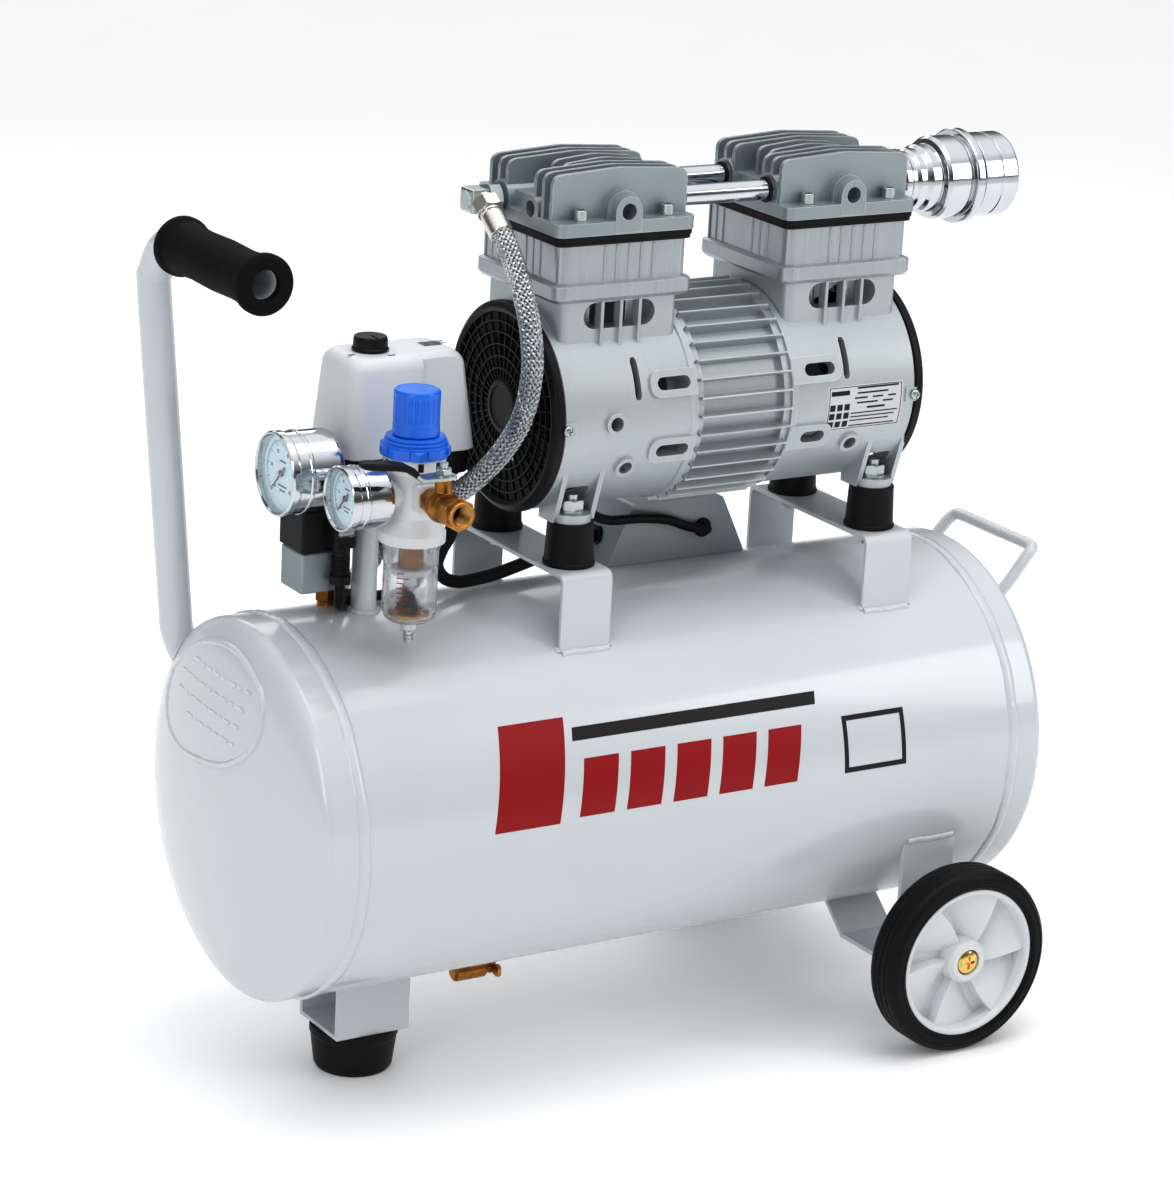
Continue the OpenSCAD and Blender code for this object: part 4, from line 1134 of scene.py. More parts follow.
def makeAxles():
    w = wheel
    bolts = Shape()
    for side in (Matrix.Identity(4), mirrorY):
        place = at(w["axleX"], 0, w["axleZ"]) @ side
        front = place @ at(0, -w["face"] + 3.2) @ faceFront
        head = Shape().lathe([(0, -3.6), (6, -3.6), (6, 0), (8.2, 0), (8.2, 1.0), (7.6, 2.2), (5.6, 3.1),
                              (2.6, 3.4),
                              (0, 3.5)], 48)
        cross = Shape().box(9, 1.9, 5, at(0, 0, 4)).box(1.9, 9, 5, at(0, 0, 4))
        bolts.join(carve(head, cross), front)
        bolts.prism(ring(6, 48), -147, -92, place @ faceFront @ Matrix.Scale(-1, 4, (0, 0, 1)))
        bolts.prism(ring(9, 48), -125.6, -109.4, place @ faceFront @ Matrix.Scale(-1, 4, (0, 0, 1)))
        bolts.join(hexNut(9.2, 7), place @ at(0, -98.6) @ faceFront)
    piece("axleBolts", bolts, "yellow_zinc", replaces="axle_bolts", bevel=0.3, segments=2, angle=35)
    print("wheels finished")


gripX = -265.4 - (495 - 290) * 21 / 233


def makeHandle():
    path = [(-250, 92, 246), (-259, 92, 262), (-264, 92, 276), (-265.4, 92, 290),
            ((gripX - 265.4) / 2, 92, 392.5)]
    for k in range(7):
        a = math.radians(15 * k)
        path.append((gripX, 92 - 33 * (1 - math.cos(a)), 495 + 33 * math.sin(a)))
    path += [(gripX, 20, 528), (gripX, -49.6, 528)]
    tube = Shape().tube(smoothPath(path, 8), 10.5, 48)
    tube = carve(tube, tankBody(0.2, 96))
    tube = carve(tube, Shape().prism(ring(8.7, 40), -62, 20, at(gripX, 0, 528) @ alongY))
    piece("handleTube", tube, "white_paint", replaces="handle_tube", smooth=45)
    profile = rounded([(10.7, 108.8), (10.7, 6), (9, 6), (9, 0.6, 0.6), (10, 0, 0.6), (16.2, 0, 1.5),
                       (18.4, 2, 1.5),
                       (18.4, 6.5, 1.8), (16.3, 10.5, 1.8), (15.4, 30, 20), (16.1, 56, 20), (15.4, 84, 20),
                       (16.3, 104, 1.8), (18.4, 108, 1.8), (18.4, 112.2, 1.5), (16.8, 114.6, 1),
                       (10.7, 114.6)],
                      0.5, 5, True)
    grip = Shape().lathe(profile, 96, at(gripX, -56, 528) @ alongY, True)
    sleeve = piece("handleGrip", grip, "foam_rubber", replaces="handle_grip")


def makeLiftHandle():
    rod = {"radius": 3.95, "half": 45}
    shape = Shape()
    path = []
    for s in (-1, 1):
        leg = [(268, s * rod["half"], 265), (284, s * (rod["half"] + 0.5), 281),
               (297, s * rod["half"], 296.2)]
        bend = [(302.3, s * (rod["half"] - 1.5), 301.2), (304, s * (rod["half"] - 7), 303)]
        path = leg + bend if s < 0 else path + [(304, 0, 303)] + (leg + bend)[::-1]
    shape.tube(smoothPath(path, 6), rod["radius"], 32)
    shape = carve(shape, tankBody(0.15, 96))
    piece("liftHandle", shape, "white_paint", replaces="lift_handle", smooth=45)
    beads = Shape()
    for s in (-1, 1):
        loop, out = [], []
        for k in range(36):
            a = math.tau * k / 36
            y = s * rod["half"] + 5.2 * math.cos(a)
            z = 270.3 + 7.5 * math.sin(a)
            loop.append(Vector((domeX(y, z) - 0.3, y, z)))
            out.append(Vector((0.55, y / 260, (z - tankZ) / 160)).normalized())
        beads.join(weldBead(loop, out, 4.2, 2.0, True, 4, s + 4.0))
    piece("liftWelds", beads, "white_paint", smooth=60)


def makeDrain():
    x, z = -93, 50
    body = Shape().prism(ring(6, 40), z, z + 15.4, at(x))
    body = carve(body, Shape().lathe(rounded([(0, -14), (4.4, -14), (6.5, -12.5), (6.5, 8), (5.4, 9),
                                              (5.4, 10),
                                              (0, 10)], 0.5, 3), 48, at(x, 0, z) @ alongX), "UNION")
    body = carve(body, Shape().join(hexNut(8, 6), at(x, 0, z + 5)), "UNION")
    body = carve(body, Shape().prism(ring(3.05, 24), 0, 12, at(x, 0, z) @ alongX))
    body = carve(body, tankBody(0.15, 96))
    piece("drainBody", body, "brass", replaces="drain_valve_body", bevel=0.3, segments=2, angle=35)
    tap = Shape().lathe([(0, 1), (3, 1), (3, 12.6), (5, 12.6), (5, 15.8), (4.2, 16.6), (0, 16.8)], 32,
                        at(x, 0, z) @ alongX)
    wing = rounded([(-13, -3.5, 3), (-9.5, -4.2, 3), (-3, -2.4, 3), (3, -2.4, 3), (9.5, -4.2, 3),
                    (13, -3.5, 3),
                    (13, 3.5, 3), (9.5, 4.2, 3), (3, 2.4, 3), (-3, 2.4, 3), (-9.5, 4.2, 3), (-13, 3.5, 3)],
                    3, 3, True)
    tap.prism(wing, 12.8, 15.4, at(x, 0, z) @ alongX)
    piece("drainTap", tap, "brass", "drain_tap", "drain_tap", bevel=0.5, segments=2, angle=35)
    print("handles and drain finished")


makeTank()
makeNamePlate()
makeDecals()
makeSheetMetal()
makeMounts()
makeWheels()
makeAxles()
makeHandle()
makeLiftHandle()
makeDrain()

# motor and pump

cylinderX = (-35.0, 131.5)
pump = {"caseRadius": 65, "caseHalf": 48, "deck": 499.2, "neckWidth": 86, "neckDepth": 88, "ventWidth": 51.5,
        "ventHeight": 16.5, "ventZ": 489.4, "ribGap": 13.5, "slotX": 5.4, "lugY": 44, "lugZ": 361.2,
        "stator": (13.0, 83.5)}


def crankcaseShape(lugX, holes, bosses):
    p = pump
    half, r = p["caseHalf"], p["caseRadius"]
    shell = Shape().lathe([(0, -half), (r - 1.2, -half), (r, -half + 1.2), (r, half - 5), (r + 1.2, half - 4),
                           (r + 1.2, half), (0, half)], 128, at(0, 0, motorZ) @ alongX)
    extra = Shape().prism(roundRect(p["neckWidth"], p["neckDepth"], 7), motorZ + 20, p["deck"])
    sides = (Matrix.Identity(4), mirrorY)
    for side in sides:
        extra.prism(ring(12.6, 32, (lugX, -p["lugY"])), p["lugZ"], p["lugZ"] + 5.4, side)
        gusset = [(-47, p["lugZ"]), (-30, p["lugZ"]), (-30, 385), (-44, 400), (-57.6, 395)]
        for wall in (-13.2, 13.2):
            extra.prism(gusset, wall - 1.7, wall + 1.7, side @ at(lugX) @ alongX)
        for low, high, angle in holes:
            pad = [(half - 0.4, 8.6, 0.5), (low - 5, 8.6, 8), (low - 5, -8.6, 8), (half - 0.4, -8.6, 0.5)]
            extra.prism(rounded(pad, 8, 8, True), 52, r + 1.5, side @ onCase(angle))
        for x, angle in bosses:
            extra.prism(ring(7.0, 32, (x, 0)), 50, r + 2.0, side @ onCase(angle))
        extra.box(8, 5, 9, side @ at(-half + 4, -r + 1.4, motorZ))
    solid = carve(shell, extra, "UNION")
    hollow = Shape().lathe([(0, -half - 2), (r - 6, -half - 2), (r - 6, half - 12), (0, half - 12)], 96,
                           at(0, 0, motorZ) @ alongX)
    hollow = carve(hollow, Shape().prism(ring(32.75, 64), motorZ, p["deck"] + 4), "UNION")
    solid = carve(solid, hollow)
    holesCut = Shape().prism(ring(8.05, 32), half - 20, half + 4, at(0, 0, motorZ) @ alongX)
    for side in sides:
        holesCut.prism(stadium(p["ventWidth"], p["ventHeight"] / 2), 30, 60, side @ at(0, 0, p["ventZ"])
                       @ faceFront)
        holesCut.join(slotCutter(p["slotX"], 12.5, 36.5), side)
        for low, high, angle in holes:
            holesCut.prism(stadium(high - low, 4.1, 8, 0, ((low + high) / 2, 0)), 50, r + 4,
                           side @ onCase(angle))
        for x, angle in bosses:
            holesCut.prism(ring(4.5, 24, (x, 0)), 56, r + 5, side @ onCase(angle))
        holesCut.prism(ring(4.3, 20, (lugX, -p["lugY"])), 350, 380, side)
        holesCut.prism(ring(9.6, 32, (lugX, -p["lugY"])), p["lugZ"] + 5.4, 384, side)
    solid = carve(solid, holesCut)
    ribs = Shape()
    for side in sides:
        rib = rounded([(-1.2, -46.6), (1.2, -46.6), (1.2, -39), (-1.2, -39)], 0.8, 3, True)
        ribs.join(repeated(Shape().prism(rib, 471, p["deck"] - 0.3), 3, step=(p["ribGap"], 0, 0),
                           place=side @ at(-p["ribGap"])))
    return solid.join(ribs)


def slotCutter(x, low, high, width=4.6, near=54, far=70):
    # a slot that runs round the case, its ends narrowed
    steps = 12
    outlines = []
    for k in range(steps + 1):
        a = math.radians(low + (high - low) * k / steps)
        half = width / 2 * (0.55 if k in (0, steps) else 1)
        outlines.append([(x - half, -near * math.cos(a), motorZ + near * math.sin(a)),
                         (x + half, -near * math.cos(a), motorZ + near * math.sin(a)),
                         (x + half, -far * math.cos(a), motorZ + far * math.sin(a)),
                         (x - half, -far * math.cos(a), motorZ + far * math.sin(a))])
    points = [q for outline in outlines for q in outline]
    faces = [[3, 2, 1, 0], [4 * steps + k for k in range(4)]]
    for row in range(steps):
        faces += [[4 * row + k, 4 * row + (k + 1) % 4, 4 * row + 4 + (k + 1) % 4,
                   4 * row + 4 + k] for k in range(4)]
    return Shape([Vector(q) for q in points], faces)


def makeCrankcases():
    left = crankcaseShape(-27.4, [(19, 43, 20), (20, 43.5, -17.5)], [(-11.5, 0.9), (0.3, -26)])
    right = crankcaseShape(-34.3, [(15, 38, 19.5), (20, 38, -19)], [(-2.6, -26.3)])
    for name, shape, place in (("left", left, at(cylinderX[0])),
                               ("right", right, at(cylinderX[1]) @ mirrorX)):
        moved = Shape().join(shape, place)
        piece("crankcase" + name.capitalize(), moved, "cast_aluminium", replaces="crankcase_" + name,
              bevel=0.7,
              segments=2, angle=40)
    print("crankcases finished")


def makeStator():
    f = {"count": 36, "root": 60.5, "tip": 69.0, "rootHalf": 1.6, "tipHalf": 0.85}
    low, high = pump["stator"]
    tip = f["tip"]
    fin = [(f["root"] - 3, -f["rootHalf"]), (tip - 0.8, -f["tipHalf"]), (tip - 0.2, -f["tipHalf"] * 0.6),
           (tip, 0),
           (tip - 0.2, f["tipHalf"] * 0.6), (tip - 0.8, f["tipHalf"]), (f["root"] - 3, f["rootHalf"])]
    shape = Shape().lathe([(46, low + 0.1), (f["root"], low + 0.1), (f["root"], high - 0.1),
                           (46, high - 0.1)], 144,
                          at(0, 0, motorZ) @ alongX, True)
    shape.join(repeated(Shape().prism(fin, low + 1.6, high - 1.6), f["count"], (0, 0, 360 / f["count"]),
                        place=at(0, 0, motorZ) @ alongX))
    for start in (low + 0.1, high - 5.1):
        shape.lathe([(46, start), (64.5, start), (64.5, start + 5), (46, start + 5)], 96,
                    at(0, 0, motorZ) @ alongX,
                    True)
    piece("statorHousing", shape, "cast_aluminium", replaces="stator_housing", bevel=0.3, segments=2,
          angle=35)


def makeFanGuards():
    g = {"rim": 66, "inner": 58.5, "depth": 8, "hub": 17, "rings": (24, 31.5, 39, 46.5, 53.5), "ribs": 36}
    shape = Shape()
    for place in (at(cylinderX[0] - 48.01, 0, motorZ) @ mirrorX @ alongX,
                  at(cylinderX[1] + 48.01, 0, motorZ) @ alongX):
        rim = rounded([(g["inner"] + 1, 0), (g["rim"], 0), (g["rim"], 5, 3), (g["rim"] - 4, g["depth"], 2),
                       (g["inner"] + 0.5, g["depth"] - 1.5, 1), (g["inner"], 5, 1)], 0.5, 4, True)
        shape.lathe(rim, 96, place, True)
        shape.lathe([(0, 4.4), (g["hub"] - 3, 4.4), (g["hub"], 3.6), (g["hub"], 6.6), (g["hub"] - 1, 7.2),
                     (g["hub"] - 3.5, 7.2), (g["hub"] - 4, 6.4), (0, 6.2)], 48, place)
        for r in g["rings"]:
            shape.lathe([(r - 0.7, 4.6), (r + 0.7, 4.6), (r + 0.5, 6.9), (r - 0.5, 6.9)], 96, place, True)
        rib = Shape().box(g["inner"] - g["hub"] + 2, 1.0, 1.9, at((g["inner"] + g["hub"]) / 2, 0, 5.4))
        shape.join(repeated(rib, g["ribs"], (0, 0, 360 / g["ribs"]), place=place))
    piece("fanGuards", shape, "black_plastic", replaces="fan_guards", bevel=0.25, segments=2, angle=40)
    screws = Shape()
    for x, side in ((cylinderX[0] - 46.5, 1), (cylinderX[1] + 46.5, 1)):
        for mirror in (Matrix.Identity(4), mirrorY):
            screws.join(panScrew(3.4, 2.6), mirror @ at(x, -66.4, motorZ) @ faceFront)
    piece("guardScrews", screws, "zinc_steel", bevel=0.3, segments=2)


def makeCylinders():
    c = {"width": 98.7, "depth": 98.4, "flange": 12, "inset": 3.5, "top": 534.4, "bore": 31.75,
         "ridges": (-13.5, -5, 3.8, 12.6, 21.2), "sideRidges": (-23, -14.5, -6, 27, 35, 43)}
    shape = Shape()
    base = pump["deck"] + 0.01
    for x in cylinderX:
        w, d = c["width"] - 2 * c["inset"], c["depth"] - 2 * c["inset"]
        block = Shape().prism(roundRect(w, d, 6), base, c["top"] - 0.01)
        skirt = roundRect(c["width"], c["depth"], 7)
        small = roundRect(c["width"] - 4, c["depth"] - 4, 6)
        block = carve(block, Shape().loft([small, skirt, skirt, roundRect(w + 1, d + 1, 6)],
                                          [base, base + 2.5, base + c["flange"] - 1.5, base + c["flange"]]),
                                          "UNION")
        block = carve(block, Shape().prism(ring(c["bore"], 64), base - 1, c["top"] + 1))
        shape.join(block, at(x))
        low, high = base + c["flange"] - 1, c["top"] - 1.2
        for ridge in c["ridges"]:
            for y in (-d / 2, d / 2):
                shape.prism(stadium(2.0, 0.75, 4, 0, (x + ridge, y)), low, high)
        for y in c["sideRidges"]:
            for s in (-w / 2, w / 2):
                shape.prism(stadium(1.8, 0.75, 4, math.pi / 2, (x + s, y)), low, high)
    piece("cylinders", shape, "block_aluminium", replaces="cylinders", bevel=0.5, segments=2, angle=40,
          firm=True)
    gasket = Shape()
    for x in cylinderX:
        gasket.prism(roundRect(c["width"] - 2.2, c["depth"] - 2.2, 6), c["top"], 537, at(x))
        gasket.prism(roundRect(c["width"] - 1.0, c["depth"] - 1.0, 6), 537, 540.39, at(x))
    piece("valvePlates", gasket, "black_rubber", replaces="valve_plates", bevel=0.5, segments=2)


def headFin(y, low, high, base, thick=3.0):
    crown = [(low, base), (low, 576.3, 7), ((low + high) / 2, 579.4, 60), (high, 576.3, 7), (high, base)]
    outline = rounded(crown, 7, 6)
    return Shape().prism([(x, z) for x, z in outline], -thick / 2, thick / 2, at(0, y) @ faceFront)


def headShape():
    h = {"z": 540.4, "plate": 8.2, "fins": (-36.4, -26.5, -17, -6, 6, 17, 26.5, 36.4), "port": 554,
         "pipeY": 25,
         "pipeZ": 556, "width": 98.7, "depth": 98.4}
    base = h["z"] + h["plate"]
    half = h["width"] / 2
    solid = Shape().prism(roundRect(h["width"], h["depth"], 6), h["z"], base)
    extra = Shape().prism(roundRect(h["width"] - 10, h["depth"] - 26, 8), h["z"] + 4, base + 10)
    for y in h["fins"]:
        low = -half + (26 if abs(y) < 10 else 1.2)
        extra.join(headFin(y, low, half - (1.2 if abs(y) > 10 else 12), h["z"] + 3))
    for radius, reach in ((11.8, 43.2), (9.4, 49.4)):
        arch = [(radius * math.cos(math.pi * k / 16), h["port"] + radius * math.sin(math.pi * k / 16))
                for k in range(17)]
        extra.prism([(radius, h["z"] + 1)] + arch + [(-radius, h["z"] + 1)], 30, reach, faceFront)
    for s in (-1, 1):
        extra.prism(ring(10.2, 28, (s * h["pipeY"], h["pipeZ"])), half - 22, half - 0.4, alongX)
        extra.prism(roundRect(20, 14, 1, (s * h["pipeY"], h["z"] + 8)), half - 22, half - 0.4, alongX)
    for s in (-1, 1):
        for t in (-1, 1):
            extra.prism(ring(5.4, 28, (s * 31, t * 43.2)), h["z"] + 2, base + 0.8)
    for y, z, r in ((-14, 552, 9.2), (22, 552, 11)):
        extra.prism(ring(r, 28, (y, z)), half - 20, half - 0.2, mirrorX @ alongX)
    solid = carve(solid, extra, "UNION")
    holes = Shape().prism(ring(5.2, 28, (0, h["port"])), 38, 60, faceFront)
    holes.prism(ring(5.2, 28, (-14, 552)), half - 12, half + 4, mirrorX @ alongX)
    for s in (-1, 1):
        holes.prism(ring(6.55, 28, (s * h["pipeY"], h["pipeZ"])), half - 14, half + 4, alongX)
        for t in (-1, 1):
            holes.prism(ring(3.3, 20, (s * 31, t * 43.2)), h["z"] - 2, base + 4)
    return solid, holes


def makeHeads():
    solid, holes = headShape()
    leftHoles = Shape().join(holes).prism(ring(6.05, 24, (24, 551)), 36, 60, mirrorX @ alongX)
    left = carve(solid, leftHoles)
    rightHoles = Shape().join(holes).prism(ring(8.1, 28, (0, 552)), 33, 60, mirrorX @ alongX)
    right = carve(solid, rightHoles)
    piece("headLeft", Shape().join(left, at(cylinderX[0])), "head_aluminium", replaces="cylinder_head_left",
          bevel=0.6, segments=2, angle=40, firm=True)
    piece("headRight", Shape().join(right, at(cylinderX[1]) @ mirrorX), "head_aluminium",
          replaces="cylinder_head_right", bevel=0.6, segments=2, angle=40, firm=True)
    bolts = Shape()
    one = Shape().lathe(rounded([(0, -9), (3.2, -9), (3.2, 0.1), (4.3, 0.1, 0.2), (4.3, 6.3, 0.7),
                                 (3.2, 6.6, 0.3),
                                 (0, 6.6)], 0.3, 3), 40)
    one = carve(one, Shape().prism(ring(2.5, 6), 2.6, 8))
    for x in cylinderX:
        for s in (-1, 1):
            for t in (-1, 1):
                bolts.join(one, at(x + s * 31, t * 43.2, 549.5))
    piece("headBolts", bolts, "zinc_steel", replaces="head_bolts", bevel=0.3, segments=2, angle=35)
    pipes = Shape()
    for s in (-1, 1):
        pipes.lathe([(0, 12), (6.5, 12), (6.5, 84), (0, 84)], 48, at(0, s * 25, 556) @ alongX)
    piece("transferPipes", pipes, "chrome_plate", replaces="transfer_pipes")
    seals = Shape()
    for s in (-1, 1):
        for x in (15.4, 79.6):
            seals.lathe(rounded([(6.6, x), (8.2, x), (8.2, x + 1.6), (6.6, x + 1.6)], 0.6, 3, True), 40,
                        at(0, s * 25, 556) @ alongX, True)
    piece("pipeSeals", seals, "black_rubber")
    print("cylinder heads finished")


def makeSilencer():
    profile = rounded([(0, 168), (8, 168), (8, 181.5), (18.5, 181.5, 2), (20, 184), (20, 188, 1),
                       (18.6, 190, 1),
                       (18.6, 193, 1), (20, 195, 1), (20, 199, 1), (18.6, 201, 1), (18.6, 204, 1),
                       (20, 206, 1),
                       (20, 211, 2), (22, 214, 2), (22, 222), (25.5, 223, 1.5), (27, 225.5, 1),
                       (27, 240.5, 1),
                       (26, 241.6, 0.4), (26, 243, 0.4), (30.2, 243, 1), (31, 244.4, 0.6), (31, 248.8, 1),
                       (29.5, 250.2, 0.6), (26.4, 250.6, 0.4), (26.4, 252.2, 0.4), (27.5, 252.8, 0.6),
                       (27.5, 265, 0.6), (26.9, 265.4, 0.2), (26.9, 266.2, 0.2), (27.5, 266.6, 0.4),
                       (27.5, 278.4, 2.2), (25, 280, 1), (0, 280)], 0.6, 4)
    shape = Shape().lathe(profile, 96, at(0, 0, 550) @ alongX)
    piece("intakeSilencer", shape, "chrome_plate", replaces="intake_silencer", smooth=35)


makeCrankcases()
makeStator()
makeFanGuards()
makeCylinders()
makeHeads()
makeSilencer()

# air controls

faceLeft = Matrix(((0, 0, -1, 0), (-1, 0, 0, 0), (0, 1, 0, 0), (0, 0, 0, 1)))


def pointed(origin, way):
    return Matrix.Translation(origin) @ Vector(way).normalized().to_track_quat("Z", "Y").to_matrix().to_4x4()


def blockShape(low, high, radius=2.0, edge=1.0, place=None):
    # a box between two corners with round vertical edges and broken ends
    size = [b - a for a, b in zip(low, high)]
    centre = [(a + b) / 2 for a, b in zip(low, high)]
    small = roundRect(size[0] - 2 * edge, size[1] - 2 * edge, max(radius - edge, 0.3), centre[:2])
    mid = roundRect(size[0] - 0.6 * edge, size[1] - 0.6 * edge, max(radius - 0.3 * edge, 0.4), centre[:2])
    full = roundRect(size[0], size[1], radius, centre[:2])
    heights = [low[2], low[2] + 0.3 * edge, low[2] + edge, high[2] - edge, high[2] - 0.3 * edge, high[2]]
    return Shape().loft([small, mid, full, full, mid, small], heights, place)


cover = {"x": (-164, -165.5), "y": (4, 3.5), "low": 407, "shoulder": 452, "top": 468, "foot": (90, 58),
         "head": (79, 50), "wall": 2.4, "stepX": -158, "knob": (-182, 3)}


def coverSection(t, inset=0.0, corner=12):
    c = cover
    width = c["foot"][0] + (c["head"][0] - c["foot"][0]) * t - 2 * inset
    depth = c["foot"][1] + (c["head"][1] - c["foot"][1]) * t - 2 * inset
    centre = (c["x"][0] + (c["x"][1] - c["x"][0]) * t, c["y"][0] + (c["y"][1] - c["y"][0]) * t)
    return roundRect(width, depth, max(corner - inset * 0.3, 2), centre, 8)


def makeSwitchCover():
    c = cover
    outlines, heights = [coverSection(0, 0.5), coverSection(0, 0)], [c["low"], c["low"] + 0.6]
    for k in range(4):
        heights.append(c["low"] + 12 + k * (c["shoulder"] - c["low"] - 12) / 3)
        outlines.append(coverSection((heights[-1] - c["low"]) / (c["top"] - c["low"] - 7)))
    lift, reach = c["top"] - c["shoulder"] - 6.4, 9.5
    for k in range(1, 9):
        a = math.pi / 2 * k / 8
        outlines.append(coverSection(0.93, reach * 0.85 * (1 - math.cos(a)) + 0.1))
        heights.append(c["shoulder"] + 5.6 + lift * math.sin(a) * 1.0 + 0.6 * math.sin(a))
    shape = Shape().loft(outlines, heights)
    shape.points = [Vector((p.x, p.y, min(p.z, c["top"]))) for p in shape.points]
    inner = Shape().loft([coverSection(0, c["wall"]), coverSection(0.9, c["wall"] + 3)],
                         [c["low"] - 2, c["top"] - 5])
    shape = carve(shape, inner)
    step = Shape().prism(rounded([(c["stepX"], 380, 0), (c["stepX"] + 60, 380, 0), (c["stepX"] + 60, 480, 0),
                                  (c["stepX"], 480, 0)], 0.5, 2, True), 0, 30,
                         at(0, -25.6, 412) @ Matrix.Rotation(math.radians(-7.2), 4, "X") @ at(0, 0,
                                                                                            -412) @ faceFront)
    shape = carve(shape, step)
    x, y = c["knob"]
    shape = carve(shape, Shape().prism(ring(4.2, 24), 455, 480, at(x, y)))
    piece("switchCover", shape, "white_plastic", replaces="switch_cover", bevel=1.0, segments=3, angle=26,
          smooth=50)
    marks = Shape()
    for row, (left, right) in enumerate(((-146, -128), (-146, -131), (-146, -129), (-146, -134))):
        marks.prism(roundRect(right - left, 1.0, 0.3, ((left + right) / 2, 9 - row * 2.6)), 467.9, 468.08)
    for left, yy in ((-199, -4), (-176, -13)):
        marks.prism(roundRect(5, 1.1, 0.3, (left, yy)), 467.9, 468.08)
    piece("switchMarks", marks, printBlack)
    knob = Shape().lathe(rounded([(0, 468.4), (11.4, 468.4), (11.4, 469.6, 0.6), (10.6, 470.6, 0.8),
                                  (10.5, 475),
                                  (9.9, 477.1, 1.0), (0, 477.1)], 0.6, 4), 64, at(x, y))
    knob = carve(knob, Shape().box(1.4, 9, 1.6, at(x, y - 5, 477)))
    knob.prism(ring(4, 24), 452, 469, at(x, y))
    piece("switchKnob", knob, "black_plastic", "switch_knob", "switch_knob", bevel=0.25, segments=2, angle=35)


def makeSwitchBase():
    shape = blockShape((-207, -22, 392), (-123, 30, 406.6), 7, 1)
    parts = (blockShape((-229.5, -7, 346.7), (-198, 24, 372.7), 2, 0.8),
             blockShape((-213, -7, 346.7), (-198, 24, 394), 2, 0.8),
             blockShape((-213.5, -19.5, 351), (-198.5, -6, 392.5), 2.5, 0.8),
             Shape().lathe(rounded([(0, -213.4), (6.6, -213.4), (6.6, -202), (0, -202)], 0.6, 3), 40,
                           at(0, -15, 400) @ alongX),
             Shape().lathe(rounded([(0, -24), (9.6, -24), (9.6, 6), (0, 6)], 0.8, 3), 40,
                           at(-185, 0, 397) @ alongY),
             Shape().prism(ring(8, 40), 386, 393, at(-126, 2)))
    for part in parts:
        shape = carve(shape, part, "UNION")
    window = blockShape((-211.5, -21, 359), (-200.5, -18.6, 385), 0.8, 0.4)
    shape = carve(shape, window)
    for z in (377, 383, 389):
        shape = carve(shape, Shape().box(40, 1.2, 1.2, at(-205, 24, z)))
    piece("switchBase", shape, "black_plastic", replaces="switch_base", bevel=0.4, segments=2, angle=35,
          firm=True)
    label = Shape().box(10.4, 0.3, 25, at(-206, -18.9, 372))
    piece("terminalLabel", label, "white_plastic", bevel=0.1, segments=1)
    lines = Shape()
    for k in range(7):
        lines.box(7.5 if k % 2 else 5.5, 0.12, 0.9, at(-206.5 + (k % 2), -19.1, 362.5 + k * 3.2))
    lines.box(5, 0.14, 4, at(-204.5, -19.1, 365.4))
    piece("terminalPrint", lines, printBlack)
    piece("terminalWindow", blockShape((-211.4, -20.6, 359.1), (-200.6, -19.6, 384.9), 0.5, 0.25),
          "clear_plastic")
    block = blockShape((-229.5, -7, 321), (-195.5, 21, 346.5), 2.4, 1.2)
    piece("manifoldBlock", block, "head_aluminium", replaces="manifold_block", bevel=0.5, segments=2,
          angle=35,
          firm=True)


def makeGlands():
    shape = Shape().join(hexNut(7.4, 5.4), at(-206, -13, 328))
    profile = [(0, 333)]
    for k in range(8):
        z = 333.4 + k * 1.55
        profile += [(5.2, z), (5.75, z + 0.35), (5.75, z + 0.8), (5.2, z + 1.15)]
    profile += [(5.2, 346.4), (5.6, 346.6), (5.6, 350.7), (0, 350.7)]
    shape.lathe(profile, 40, at(-206, -13))
    shape.join(hexNut(6.4, 5.6), at(-126, 2, 380.1))
    piece("cableGlands", shape, "black_plastic", replaces="cable_glands", bevel=0.25, segments=2, angle=35)


